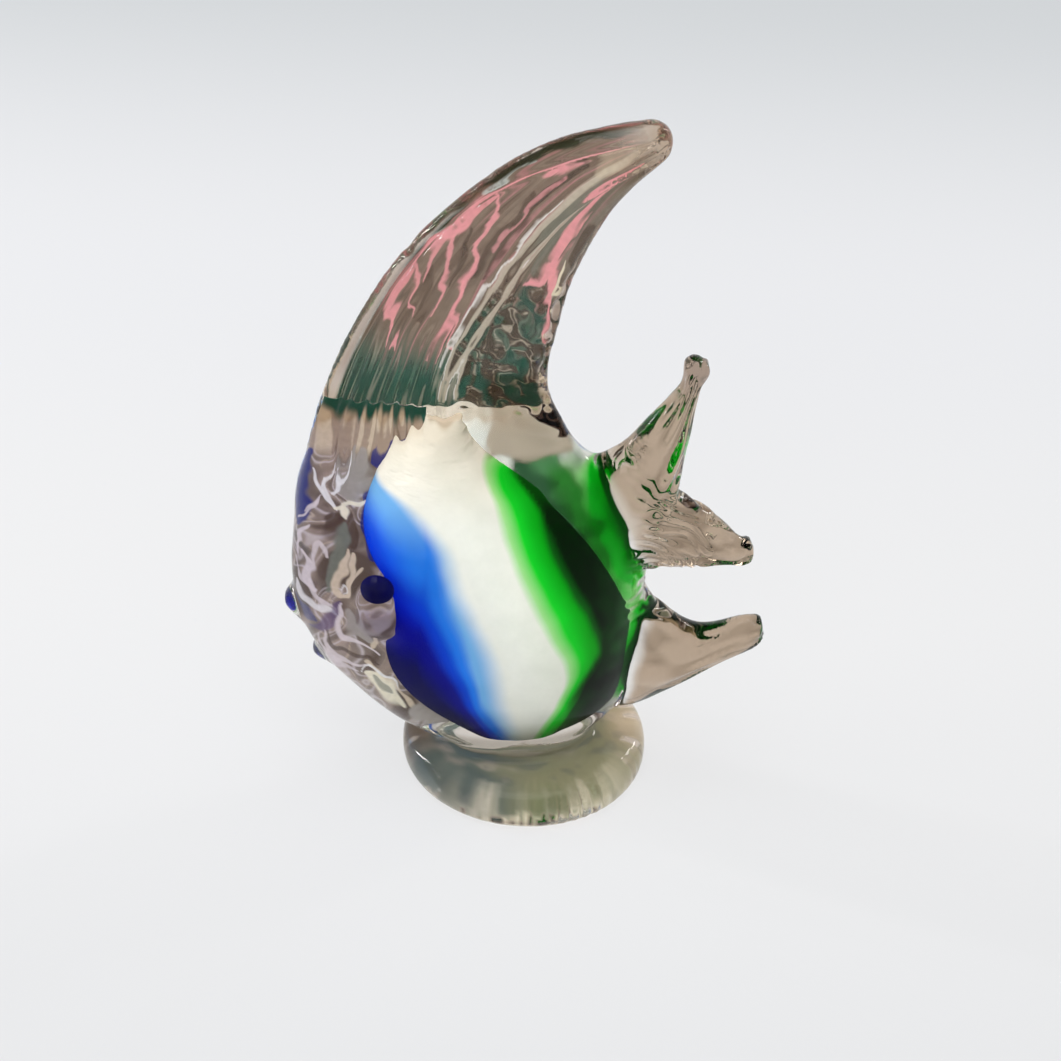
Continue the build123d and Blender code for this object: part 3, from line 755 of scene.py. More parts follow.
def shares_on_fin(points, rows):
    """How far along and across a fin each point lies, seen from the side.

    The place along is found by halving: the cross product of a chord and the way to the point tells which
    side of the point the chord lies on. The share across is the point's projection on that chord.
    """
    places = np.linspace(0, len(rows) - 1, 400)
    table = smooth_through(rows, places)
    spot = points[:, [0, 2]]

    def chord(share):
        line = np.stack([np.interp(share * places[-1], places, table[:, column]) for column in range(4)], 1)
        return line[:, 0:2], line[:, 2:4] - line[:, 0:2]

    low, high = np.zeros(len(points)), np.ones(len(points))
    for _ in range(16):
        middle = (low + high) / 2
        front, across = chord(middle)
        off = spot - front
        beyond = across[:, 0] * off[:, 1] - across[:, 1] * off[:, 0] > 0
        low, high = np.where(beyond, middle, low), np.where(beyond, high, middle)
    front, across = chord((low + high) / 2)
    off = spot - front
    return (low + high) / 2, (off * across).sum(1) / (across**2).sum(1)


def beyond_casing(points):
    """The casing's own measure: 1 on its skin, more outside (root of summed squares over half sizes)."""
    sections = casing_sections()
    table = smooth_through(sections, np.linspace(0, len(sections) - 1, 300))
    height = np.clip(points[:, 2], table[0, 0], table[-1, 0])
    centre, half_length, half_thickness = (
        np.interp(height, table[:, 0], table[:, column]) for column in (1, 2, 3)
    )
    return np.hypot((points[:, 0] - centre) / half_length, points[:, 1] / half_thickness)


def casing_rear(height):
    """How far back the body reaches at each height: the casing, and the dorsal fin's root over it."""
    sections = casing_sections()
    casing = smooth_through(sections, np.linspace(0, len(sections) - 1, 300))
    fin = dorsal_rows()
    return np.maximum(
        np.interp(height, casing[:, 0], casing[:, 1] + casing[:, 2]),
        np.interp(height, fin[:, 3], fin[:, 2], left=-1),
    )


def root_folds(points):
    """Where the tail's pinched root is, and the height of its folds from -1 to 1."""
    x, _, z = points.T
    reach = ease(0.021, 0.028, x) * ease(0.047, 0.039, x) * ease(0.040, 0.048, z) * ease(0.086, 0.078, z)
    phase = z + 0.50 * (x - 0.03) + 0.0012 * ripple(points * (1, 0.3, 1), 0.010, 5)
    return reach * ease(-0.9, 0.2, ripple(points, 0.009, 6)), np.sin(2 * pi * phase / 0.0029)


def fin_streaks(points):
    """Where the tail's lobes and the anal fin are, and the height of the streaks drawn along them."""
    mask, streak = np.zeros(len(points)), np.zeros(len(points))
    for number, rows in enumerate(rear_fin_rows()):
        along, across = shares_on_fin(points, rows)
        on_fin = held(-0.02, 0.10, 0.90, 1.02, across) * held(0.05, 0.3, 0.90, 0.99, along)
        on_fin = on_fin * ease(0.018, 0.028, points[:, 0]) * (abs(along - 0.5) < 0.4999)
        flow = np.stack((0.022 * along, 0.020 * across, 0.15 * points[:, 1]), 1)
        streak = np.where(on_fin > mask, ripple(flow, 0.0050, 7 + number), streak)
        mask = np.maximum(mask, on_fin)
    return mask, streak


def finer(mesh, chosen):
    """Cuts the faces among the chosen points in four."""
    work = bmesh.new()
    work.from_mesh(mesh)
    work.verts.ensure_lookup_table()
    picked = set(np.flatnonzero(chosen).tolist())
    edges = [edge for edge in work.edges if edge.verts[0].index in picked and edge.verts[1].index in picked]
    bmesh.ops.subdivide_edges(work, edges=edges, cuts=1, use_grid_fill=True)
    work.to_mesh(mesh)
    work.free()
    mesh.shade_smooth()


def line_at(shares, along):
    """The share across at which a line on the fin lies, from its own shares."""
    return np.interp(along, *shares)


def worked(points, normals):
    """How far each point of the fused glass is drawn out or pressed in along its normal."""
    s = sizes()
    x, y, z = points.T
    base = s.foot_thickness + s.neck_web
    crown = base + s.body_height
    along, across = shares_on_fin(points, dorsal_rows())
    on_dorsal = ease(crown - 0.024, crown - 0.018, z) * ease(-0.02, 0.04, across) * ease(1.02, 0.96, across)
    side_on = on_dorsal * ease(0.25, 0.6, abs(normals[:, 1]))

    groove = line_at(groove_shares, along)
    ridge = line_at(ridge_shares, along)
    rear_line = line_at(rear_line_shares, along)
    drift = 0.006 * ripple(points, 0.02, 31)
    rib_wave = np.cos(2 * pi * (across + 2.2 * drift - 0.14) / 0.070)
    rib_reach = ease(0.08, 0.13, across) * ease(ridge - 0.02, ridge - 0.08, across) * ease(0.34, 0.16, along)
    rib_floor = np.interp(x, (-0.050, -0.044, -0.038, -0.030, -0.024), (0.080, 0.082, 0.088, 0.093, 0.097))
    move = side_on * rib_reach * ease(rib_floor, rib_floor + 0.005, z) * rib_depth * rib_wave
    thread_wave = np.cos(2 * pi * (across + 0.30 * ease(0.2, 0.6, along) * across + 2 * drift) / 0.075)
    thread_reach = ease(groove + 0.01, groove + 0.05, across) * ease(ridge - 0.02, ridge - 0.08, across)
    thread_reach = thread_reach * ease(0.14, 0.26, along) * ease(0.58, 0.46, along)
    move += side_on * thread_reach * thread_depth * thread_wave
    beside = bump_at(groove + 0.012, 0.022, across) * held(0.02, 0.10, 0.55, 0.75, along)
    move -= side_on * groove_depth * beside
    move += side_on * ridge_height * bump_at(ridge, 0.032, across) * held(0.04, 0.10, 0.60, 0.80, along)
    gutter = bump_at(ridge + 0.085, 0.045, across) * held(0.08, 0.14, 0.60, 0.80, along)
    move -= side_on * ridge_gutter_depth * gutter
    rear_groove = bump_at(rear_line + 0.045, 0.022, across) * held(0.20, 0.28, 0.60, 0.80, along)
    move -= side_on * rear_line_depth * rear_groove
    hammered = side_on * ease(ridge + 0.02, ridge + 0.07, across) * held(0.06, 0.09, 0.28, 0.42, along)
    move += hammered * hammered_depth * ripple(points, 0.0034, 3)
    move += on_dorsal * fin_wave_depth * ripple(points, 0.011, 47)

    reach, fold = root_folds(points)
    move += reach * root_fold_depth * fold
    reach, streak = fin_streaks(points)
    move += reach * fin_streak_depth * streak

    face = ease(-0.034, -0.042, x) * ease(0.020, 0.035, z) * ease(0.108, 0.094, z)
    move += face * face_wave_depth * ripple(points * (1, 0.6, 0.7), 0.013, 11)
    on_body = ease(0.010, 0.02, z) * ease(crown, crown - 0.02, z)
    move += on_body * (1 - face) * body_wave_depth * ripple(points, 0.026, 13)

    for side in (-1, 1):
        near = ease(0.0085, 0.0060, np.linalg.norm(points - bead_point(side), axis=1))
        move += near * bead_wave_depth * ripple(points, 0.0042, 23)

    on_foot = ease(0.0105, 0.0085, z)
    angle = np.arctan2(y, x)
    rim = on_foot * ease(s.foot_radius - 0.006, s.foot_radius - 0.002, np.hypot(x, y)) * ease(0.0003, 0.002, z)
    rim = rim * bump_at(-0.30 * pi, 0.55, angle)
    move += rim * rim_flute_depth * np.cos(62 * angle) * ease(-0.9, 0.6, ripple(points, 0.012, 17))
    move += on_foot * ease(0.006, 0.009, z) * foot_wave_depth * ripple(points, 0.012, 19)
    return move


def blended(colour, share, other):
    """The colours, each moved towards the other one by its own share."""
    share = np.clip(share, 0, 1)[:, None]
    return colour + share * (np.asarray(other) - colour)


def glass_tint(points):
    """The glass's cast at each point: warm fins, clear casing, green rear rim, teal and olive foot. The fins'
    warmth, the violet round the eye beads and the foot's teal and olive are painted refraction and reflection;
    the folds, streaks, fin edges, waist, face and deep rear rim carry painted shade.
    """
    c = colours()
    s = sizes()
    x, y, z = points.T
    crown = s.foot_thickness + s.neck_web + s.body_height
    on_casing = ease(1.10, 1.02, beyond_casing(points))
    # Painted refraction: the fins' warm cast stands in for a warm room seen through clear glass
    colour = np.tile(c.fin, (len(points), 1))
    colour = blended(colour, 0.8 * ease(crown - 0.01, crown + 0.01, z) * ease(0.022, 0.010, x), c.clear)
    colour = blended(colour, on_casing, c.clear)
    slant = z + 0.40 * y
    green_line = np.interp(slant, *np.array(bright_green_edge)[::-1].T / 1000)
    inward = casing_rear(z) - x + 0.0010 * ripple(points, 0.007, 131)
    below_veil = ease(crown + 0.0040, crown + 0.0030, slant) * ease(0.020, 0.035, z)
    on_rear = ease(1.22, 1.12, beyond_casing(points)) * below_veil * ease(0.000, 0.002, x - green_line)
    clear_rim = 0.0035 * ease(0.088, 0.078, slant)
    colour = blended(colour, on_rear * ease(0.0000, 0.0042, inward - clear_rim), c.leaf)
    # Painted shade: nearly black further in from the rear rim, where the core's shaded side shows through
    colour = blended(colour, on_rear * ease(0.0080, 0.0115, inward), (0.002, 0.018, 0.004))
    slant = slant + 0.0010 * ripple(points, 0.008, 139)
    edge = x + 0.0008 * ripple(points, 0.006, 149)
    low_edge = ease(0.0890, 0.0905, slant)
    window = ease(-0.0125, -0.0110, edge) * ease(0.0078, 0.0064, edge) * low_edge * below_veil
    colour = blended(colour, window, (0.34, 0.24, 0.17))
    colour = blended(colour, 0.6 * window * ease(0.0915, 0.0900, slant), (0.16, 0.11, 0.07))
    colour = blended(colour, 0.4 * window * ease(0.0045, 0.0062, edge), (0.20, 0.14, 0.09))
    # Painted shade: a darker grey beige band on the waist, under the body
    collar = ease(0.0098, 0.0112, z) * ease(0.0200, 0.0165, z)
    colour = blended(colour, 0.85 * collar, (0.30, 0.27, 0.22))
    reach, fold = root_folds(points)
    # Painted shade: darker in the hollows of the tail root's folds
    colour = blended(colour, 0.75 * reach * ease(0.1, 0.9, -fold), (0.20, 0.15, 0.11))
    reach, streak = fin_streaks(points)
    # Painted shade: darker along the hollows of the streaks on the tail and anal fin
    colour = blended(colour, 0.70 * reach * ease(-0.1, 0.8, -streak), (0.26, 0.19, 0.13))
    # Painted shade: the face's skin dimmed to a pale grey violet, for darker surroundings seen in it
    face_painted_shade = on_casing * ease(-0.036, -0.046, x) * ease(0.018, 0.028, z) * ease(0.112, 0.100, z)
    colour = blended(colour, face_painted_shade, (0.80, 0.75, 0.76))
    along, across = shares_on_fin(points, dorsal_rows())
    # Painted shade: the dorsal fin's front and rear edges darker
    fin_edge_painted_shade = np.maximum(ease(0.080, 0.050, across), ease(0.92, 0.95, across))
    fin_edge_painted_shade *= ease(crown - 0.004, crown + 0.006, z)
    colour = blended(colour, fin_edge_painted_shade * (abs(along - 0.5) < 0.4999), (0.44, 0.34, 0.27))
    # Painted refraction: a violet haze round each eye bead, for the pupil seen through it
    for side in (-1, 1):
        near = np.linalg.norm(points - bead_point(side), axis=1)
        colour = blended(colour, 0.75 * ease(0.0088, 0.0070, near), (0.50, 0.44, 0.82))
    on_foot = ease(0.0115, 0.0085, z)
    # The foot's glass takes a cast halfway between clear and the fins' painted warm cast
    colour = blended(colour, 0.75 * on_foot, (np.array(c.clear) + c.fin) / 2)
    return blended(colour, foot_film(points), foot_painted_reflection(points))


def foot_film(points):
    """How cloudy each point is: the foot's flat underside is, up to a ragged edge short of its rim."""
    s = sizes()
    x, y, z = points.T
    angle = np.arctan2(y, x)
    ragged = 0.0022 * ripple(np.stack((np.cos(angle), np.sin(angle), 0 * x), 1), 0.35, 59)
    ragged = ragged + 0.0012 * ripple(np.stack((np.cos(angle), np.sin(angle), 0 * x), 1), 0.08, 61)
    flutes = bump_at(-0.42 * pi, 0.75, angle) * (0.0022 + 0.0016 * np.sin(70 * angle + 3 * np.sin(9 * angle)))
    within = ease(s.foot_radius - 0.0030, s.foot_radius - 0.0045, np.hypot(x, y) + ragged + flutes)
    return 0.92 * within * ease(0.0006, 0.0003, z)


def foot_painted_reflection(points):
    """Colour of the foot's underside, a painted reflection of the core: teal under the face, olive under the
    tail, with clouds and patches, and at the front rim a pale ring with dark flutes, painted light.
    """
    c = colours()
    x, y, _ = points.T
    cloud = ripple(points, 0.016, 29)
    fine = ripple(points, 0.005, 53)
    colour = np.tile(c.foot_front_reflection, (len(points), 1))
    colour = blended(colour, ease(-0.014, 0.004, x + 0.004 * cloud), c.foot_rear_reflection)
    colour = blended(colour, 0.45 * ease(0.1, 1.2, cloud + 0.5 * fine), c.fog)
    colour = blended(colour, 0.45 * ease(0.5, 1.4, fine - 0.4 * cloud), c.foot_front_reflection)
    angle, radius = np.arctan2(y, x), np.hypot(x, y)
    flute = np.sin(46 * angle + 4 * np.sin(7 * angle) + 0.8 * fine)
    # Painted light: a pale ring with dark flutes at the front rim, where light is refracted through it
    ring = ease(0.0205, 0.0240, radius + 0.0012 * fine) * bump_at(-0.42 * pi, 0.75, angle)
    colour = blended(colour, ring, (0.80, 0.80, 0.70))
    colour = blended(colour, 0.75 * ring * ease(0.2, 0.9, flute), (0.05, 0.09, 0.06))
    streak = 0.6 + 0.4 * np.sin(2 * pi * (x + 0.1 * y) / 0.0021)
    near_streak = 1.3 * streak * bump_at(0.008, 0.007, x) * bump_at(-0.025, 0.005, y)
    colour = blended(colour, near_streak, (0.012, 0.07, 0.02))
    colour = blended(colour, 0.8 * bump_at(-0.026, 0.006, x) * ease(-0.012, 0.0, y), c.umber)
    return blended(colour, 0.4 * bump_at(0.026, 0.006, x) * bump_at(0.006, 0.008, y), c.sand)


def paint(mesh, name, colour):
    """Keeps a colour for each point of the mesh, for its material to read."""
    layer = mesh.color_attributes.new(name, "FLOAT_COLOR", "POINT")
    layer.data.foreach_set("color", np.concatenate((colour, np.ones((len(colour), 1))), 1).ravel())


def keep(mesh, name, values):
    """Keeps a number for each point of the mesh, for its material to read."""
    layer = mesh.attributes.new(name, "FLOAT", "POINT")
    layer.data.foreach_set("value", np.asarray(values, np.float32))


class Recipe:
    """A material's nodes. Each call adds one node and gives the socket that the next one reads."""

    def __init__(self, name):
        self.material = bpy.data.materials.new(name)
        self.material.use_nodes = True
        self.tree = self.material.node_tree
        self.tree.nodes.clear()
        self.output = self.tree.nodes.new("ShaderNodeOutputMaterial")

    def node(self, kind, inputs=(), out=0, **settings):
        made = self.tree.nodes.new("ShaderNode" + kind)
        for key, value in settings.items():
            setattr(made, key, value)
        for key, value in dict(inputs).items():
            if isinstance(value, bpy.types.NodeSocket):
                self.tree.links.new(value, made.inputs[key])
            else:
                made.inputs[key].default_value = value
        return made.outputs[out]

    def math(self, operation, *values):
        return self.node("Math", enumerate(values), operation=operation)

    def ramp(self, value, stops, interpolation="EASE"):
        made = self.node("ValToRGB", {0: value}).node
        made.color_ramp.interpolation = interpolation
        while len(made.color_ramp.elements) < len(stops):
            made.color_ramp.elements.new(1)
        for element, (place, colour) in zip(made.color_ramp.elements, stops):
            element.position = place
            element.color = (*colour, 1) if len(colour) == 3 else colour
        return made.outputs[0]

    def mix(self, share, first, second, blend="MIX"):
        made = self.node("Mix", data_type="RGBA", blend_type=blend, out=2).node
        for index, value in ((0, share), (6, first), (7, second)):
            if isinstance(value, bpy.types.NodeSocket):
                self.tree.links.new(value, made.inputs[index])
            else:
                made.inputs[index].default_value = value if index == 0 else (*value, 1)
        return made.outputs[2]

    def curve(self, value, points, domain, reach):
        """A smooth line through points of value and result, each given in its own range of low and high."""
        (low, high), (least, most) = domain, reach
        share = self.node("MapRange", {"Value": value, "From Min": low, "From Max": high})
        made = self.node("FloatCurve", {"Factor": 1.0, "Value": share}).node
        line = made.mapping.curves[0]
        spots = sorted(
            ((at - low) / (high - low), (result - least) / (most - least)) for at, result in points
        )
        line.points[0].location, line.points[1].location = spots[0], spots[-1]
        for spot in spots[1:-1]:
            line.points.new(*spot)
        made.mapping.update()
        return self.node("MapRange", {"Value": made.outputs[0], "To Min": least, "To Max": most})

    def noise(self, place, scale, detail=2.0, out=0):
        return self.node("TexNoise", {"Vector": place, "Scale": scale, "Detail": detail}, out=out)

    def place(self, scale=(1, 1, 1)):
        here = self.node("TexCoord", out=3)
        return self.node("Mapping", {"Vector": here, "Scale": scale})

    def finish(self, surface):
        self.tree.links.new(surface, self.output.inputs["Surface"])
        return self.material


def clear_glass():
    """Fire-polished clear glass, its cast and painted light kept on the mesh; lamps reach through it to core
    and floor.
    """
    r = Recipe("clear_glass")
    cast = r.node("Attribute", attribute_name="cast", attribute_type="GEOMETRY")
    clarity = r.node("Attribute", attribute_name="clarity", attribute_type="GEOMETRY", out=2)
    seed = r.node("TexNoise", {"Vector": r.place(), "Scale": 900.0, "Detail": 2.0})
    speck = r.ramp(seed, ((0.0, (0.94, 0.94, 0.94)), (1.0, (1, 1, 1))))
    colour = r.mix(1.0, cast, speck, "MULTIPLY")
    cord = r.noise(r.place((1, 1, 0.35)), 200.0)
    wave = r.node("Bump", {"Height": cord, "Strength": 0.05, "Distance": 0.0006})
    glass = r.node(
        "BsdfPrincipled",
        {
            "Base Color": colour,
            "Roughness": 0.012,
            "IOR": 1.5,
            "Specular Tint": (0.10, 0.10, 0.10, 1),
            "Transmission Weight": clarity,
            "Normal": wave,
        },
    )
    through = r.node("BsdfTransparent", {"Color": r.mix(0.6, colour, (1, 1, 1))})
    for_lamps = r.node("LightPath", out=1)
    return r.finish(r.node("MixShader", {0: for_lamps, 1: glass, 2: through}))


def core_glass(name):
    """Opal white glass under blue at the front and green at the rear, fading into a leaning white band, with
    painted
    shade: the white darker towards the crown and the base, and the green nearly black at the rear side.

    Everything is in millimetres: each edge is a line of x over z, and each colour goes by the way from it.
    """
    r = Recipe(name)
    here = r.place((1000, 1000, 1000))
    split = r.node("SeparateXYZ", {0: here}).node
    x, z = split.outputs[0], split.outputs[2]
    wobble = r.math("MULTIPLY", r.math("SUBTRACT", r.noise(here, 0.07, 1.0), 0.5), 3.0)
    x = r.math("ADD", x, wobble)
    heights, widths = (10.0, 100.0), (-50.0, 25.0)
    white_front = r.curve(z, white_front_edge, heights, widths)
    white_rear = r.curve(z, white_rear_edge, heights, widths)
    green_edge = r.curve(z, bright_green_edge, heights, widths)

    into_blue = r.math("SUBTRACT", white_front, x)
    ahead = r.math("SUBTRACT", -12.0, x)
    bright_above = r.math("MINIMUM", r.math("MULTIPLY_ADD", ahead, 2.6, 25.5), 57.5)
    navy_below = r.math("MINIMUM", r.math("MULTIPLY_ADD", ahead, 2.0, 20.5), 47.0)
    step = r.math("MAXIMUM", r.math("SUBTRACT", bright_above, navy_below), 4.0)
    lift = r.math("DIVIDE", r.math("SUBTRACT", z, navy_below), step)
    deep = r.ramp(
        r.math("MULTIPLY_ADD", lift, 0.15, 0.30),
        (
            (0.12, (0.001, 0.001, 0.10)),
            (0.27, (0.001, 0.003, 0.28)),
            (0.40, (0.001, 0.060, 0.72)),
            (0.55, (0.020, 0.21, 0.98)),
            (0.80, (0.20, 0.50, 1.0)),
        ),
    )
    rim = r.ramp(r.math("DIVIDE", into_blue, 24.0), ((0.45, (1, 1, 1)), (0.90, (0.05, 0.22, 0.95))))
    deep = r.mix(1.0, deep, rim, "MULTIPLY")
    whitening = r.ramp(r.math("DIVIDE", into_blue, 7.0), ((0.0, (0, 0, 0)), (1.0, (1, 1, 1))))
    blue = r.mix(whitening, (1, 1, 1), deep)

    across = r.math("DIVIDE", r.math("SUBTRACT", x, white_rear), r.math("SUBTRACT", green_edge, white_rear))
    # Painted shade: past the bright green the colour runs to nearly black, for the core's shaded rear side
    green = r.ramp(
        r.math("DIVIDE", across, 3.0),
        (
            (0.0, (1, 1, 1)),
            (0.07, (0.42, 0.90, 0.36)),
            (0.17, (0.008, 0.80, 0.03)),
            (0.31, (0.002, 0.46, 0.008)),
            (0.35, (0.003, 0.12, 0.006)),
            (0.60, (0.002, 0.035, 0.006)),
            (1.0, (0.004, 0.012, 0.008)),
        ),
        "LINEAR",
    )
    # Painted shade: the white darker and warmer towards the crown, and darker grey towards the base
    top = r.node("MapRange", {"Value": z, "From Min": 76.0, "From Max": 94.0})
    base = r.node("MapRange", {"Value": z, "From Min": 26.0, "From Max": 16.0})
    white = r.mix(top, (0.81, 0.825, 0.775), (0.76, 0.71, 0.61))
    white = r.mix(base, white, (0.44, 0.475, 0.42))
    cloud = r.ramp(r.noise(here, 0.10, 2.0), ((0.3, (0.92, 0.93, 0.92)), (0.7, (1, 1, 1))))
    colour = r.mix(1.0, white, cloud, "MULTIPLY")
    colour = r.mix(1.0, r.mix(1.0, colour, blue, "MULTIPLY"), green, "MULTIPLY")
    wrinkle = r.math("MULTIPLY", r.noise(r.place((180, 180, 420)), 1.0, 2.0), top)
    crease = r.node("Bump", {"Height": wrinkle, "Strength": 0.8, "Distance": 0.0014})
    opal = r.node(
        "BsdfPrincipled",
        {"Base Color": colour, "Roughness": 0.5, "IOR": 1.45, "Specular IOR Level": 0.0, "Normal": crease},
    )
    return r.finish(opal)


def pupil_glass():
    """Dark blue glass, a little paler towards its outline as the camera sees it: a painted sheen."""
    r = Recipe("pupil_navy_glass")
    # Painted sheen: paler blue where the surface turns away from the camera
    edge = r.node("LayerWeight", {"Blend": 0.4}, out=1)
    colour = r.mix(edge, tuple(colours().navy), (0.003, 0.003, 0.12))
    glass = r.node("BsdfPrincipled", {"Base Color": colour, "Roughness": 0.12, "Specular IOR Level": 0.1})
    return r.finish(glass)


def veil_glass(name):
    """Coloured glass drawn out unevenly, with its colour and its thickness kept on the mesh; the colour holds
    painted refraction and painted highlights too.
    """
    r = Recipe(name)
    cast = r.node("Attribute", attribute_name="cast", attribute_type="GEOMETRY")
    amount = r.node("Attribute", attribute_name="amount", attribute_type="GEOMETRY", out=2)
    grain = r.ramp(r.noise(r.place(), 900.0), ((0.2, (0.88, 0.88, 0.88)), (0.8, (1, 1, 1))))
    colour = r.mix(1.0, cast, grain, "MULTIPLY")
    return r.finish(
        r.node(
            "BsdfPrincipled",
            {"Base Color": colour, "Roughness": 0.6, "Specular IOR Level": 0.0, "Alpha": amount},
        )
    )


def sheet(name, front, rear, steps, thickness):
    """A closed flat sheet on the middle plane, of close straight lines from the front edge to the rear.

    Round each ring the share across is half of one less the turn's cosine, and the depth follows its sine.
    """
    edges = np.concatenate((front, rear), 1)
    rows = np.concatenate((edges, np.full((len(edges), 1), thickness)), 1)
    return mesh_of(name, [skin(drawn_rings(rows, *steps))])


def stroke(spots, line, width):
    """A stroke along a smooth line of x and z, widest in its middle and drawn out thin at its ends.

    Each spot's way to the nearest of the line's 24 straight steps is set against the half width there,
    which goes with the sine of the share along the line.
    """
    line = smooth_through(line, np.linspace(0, len(line) - 1, 25))
    step = line[1:] - line[:-1]
    off = spots[:, None, :] - line[None, :-1]
    share = np.clip((off * step).sum(-1) / (step**2).sum(-1), 0, 1)
    off -= share[..., None] * step
    way = np.hypot(off[..., 0], off[..., 1])
    nearest, row = way.argmin(1), np.arange(len(spots))
    along = (nearest + share[row, nearest]) / len(step)
    reach = width * (0.35 + 0.65 * np.sin(pi * along) ** 0.7)
    return ease(1.35 * reach, 0.65 * reach, way[row, nearest])


def on_middle_plane(places):
    """Places of the enlarged crop on the fish's middle plane: along and up, in half millimetres."""
    eye = np.array(camera_place)
    ahead = np.array(camera_target) - eye
    ahead /= np.linalg.norm(ahead)
    level = np.cross(ahead, (0, 0, 1))
    level /= np.linalg.norm(level)
    upright = np.cross(level, ahead)
    right = cos(camera_roll) * level + sin(camera_roll) * upright
    up = cos(camera_roll) * upright - sin(camera_roll) * level
    focal = camera_lens / camera_sensor * picture_side
    found = []
    for across, down in places:
        off_right = (crop_corner[0] + across / crop_enlargement - picture_side / 2) / focal
        off_down = (crop_corner[1] + down / crop_enlargement - picture_side / 2) / focal
        ray = ahead + off_right * right - off_down * up
        hit = eye - eye[1] / ray[1] * ray
        found.append((hit[0], hit[2]))
    return np.round(np.array(found) * 2000) / 2


def dorsal_veil_edges():
    """Front and rear edge of the dorsal veil, a share of each section in from the fin's own edges."""
    first, last = dorsal_veil_sections
    rows = dorsal_rows()[first : last + 1]
    across = rows[:, 2:4] - rows[:, 0:2]
    rim_share = sizes().veil_rim / np.linalg.norm(across, axis=1)
    inset = across * np.minimum(dorsal_veil_inset_share, rim_share)[:, None]
    return rows[:, 0:2] + inset, rows[:, 2:4] - inset


def dorsal_cast(points):
    """Colour of the dorsal veil: taupe, a painted refraction of a dim warm room, teal below, a mottled patch
    behind the ridge, and drawn threads, among them the painted highlights of the glints and the ridge.
    """
    c = colours()
    s = sizes()
    x, _, z = points.T
    crown = s.foot_thickness + s.neck_web + s.body_height
    along, across = shares_on_fin(points, dorsal_rows())
    ridge = line_at(ridge_shares, along)
    flow = np.stack((0.16 * along, 0.9 * across, 0 * x), 1)
    grain = ripple(flow, 0.045, 71)
    fine = ripple(flow, 0.016, 73)
    behind = ease(ridge - 0.02, ridge + 0.02, across)
    colour = np.tile(c.taupe, (len(points), 1)) * (1 + 0.25 * grain + 0.16 * fine)[:, None]
    colour = blended(colour, 0.60 * ease(0.2, 1.2, grain), c.umber)
    colour = blended(colour, 0.35 * ease(0.5, 1.3, -grain), c.pink)
    colour = blended(colour, 0.40 * behind * ease(0.30, 0.40, along), c.slate)

    teal_top = crown + 0.0085 + 0.0020 * grain + 0.0120 * behind
    in_teal = ease(teal_top + 0.0060, teal_top - 0.0040, z)
    teal = np.array(c.teal) + ease(crown, crown + 0.012, z + 0.0015 * grain)[:, None] * (0.085, 0.060, 0.050)
    streaks = ease(0.2, 1.3, ripple(flow, 0.022, 83)) * (1 - behind)
    teal = blended(teal * (1 + 0.25 * fine)[:, None], 0.5 * streaks, c.mist)
    colour = blended(colour, in_teal, teal)

    warp = np.stack((ripple(points, 0.006, 89), 0 * x, ripple(points, 0.006, 91)), 1)
    mottle = ripple(points + 0.0016 * warp, 0.0056, 93)
    vein = ripple(points + 0.0012 * warp, 0.0034, 95)
    hammered = behind * ease(crown + 0.032, crown + 0.022, z)
    colour = blended(colour, 0.85 * hammered * ease(0.0, 0.4, mottle), c.umber)
    colour = blended(colour, 0.80 * hammered * ease(-0.3, -0.7, mottle), c.teal)
    veins = 0.75 * hammered * bump_at(0, 0.14, vein) * ease(-0.4, 0.5, mottle + warp[:, 0])
    colour = blended(colour, veins, c.mist)

    spots = (points + 0.0003 * warp)[:, [0, 2]] * 1000
    threads = [(*look, on_middle_plane(places)) for *look, places in dorsal_strokes]
    # Among these strokes the glints, and the band and line along the ridge, are painted highlights
    for name, strength, width, line in (*dorsal_glints, *threads):
        reach = width * (1 + 0.22 * fine)
        colour = blended(colour, strength * stroke(spots, line, reach), getattr(c, name))
    return np.clip(colour, 0, 1), along, across


def face_veil_edges():
    """Front and rear edge of the face veil: inside the casing's nose, and just under the core's skin.

    Both lines are read at even steps of height, from where they start to a little below the dorsal veil.
    """
    s = sizes()
    casing = casing_sections()
    nose = casing[:, 1] - casing[:, 2]
    base, crown = casing[0, 0], casing[-1, 0]
    top = crown + (dorsal_shares[dorsal_veil_sections[0]][1] * s.dorsal_height) - s.veil_crown_gap
    core_span = s.body_height - s.floor_wall - s.crown_wall
    core_height = base + s.floor_wall + np.asarray(casing_shares)[:, 0] * core_span
    lines = (
        (nose + s.veil_skin_gap, casing[:, 0], face_veil_skin_sections),
        (
            nose + np.array(nose_wall_shares) * s.nose_wall + s.veil_core_lap,
            core_height,
            face_veil_core_sections,
        ),
    )
    edges = []
    for x, z, (first, last) in lines:
        line = np.stack((x, z), 1)[first : last + 1]
        line = smooth_through(line, np.linspace(0, len(line) - 1, 200))
        height = np.linspace(line[0, 1], top, 40)
        edges.append(np.stack((np.interp(height, line[:, 1], line[:, 0]), height), 1))
    fin = dorsal_rows()
    fin_front = np.interp(edges[0][:, 1], fin[:, 1], fin[:, 0], left=np.inf) + s.veil_skin_gap
    edges[0][:, 0] = np.minimum(edges[0][:, 0], fin_front)
    return edges


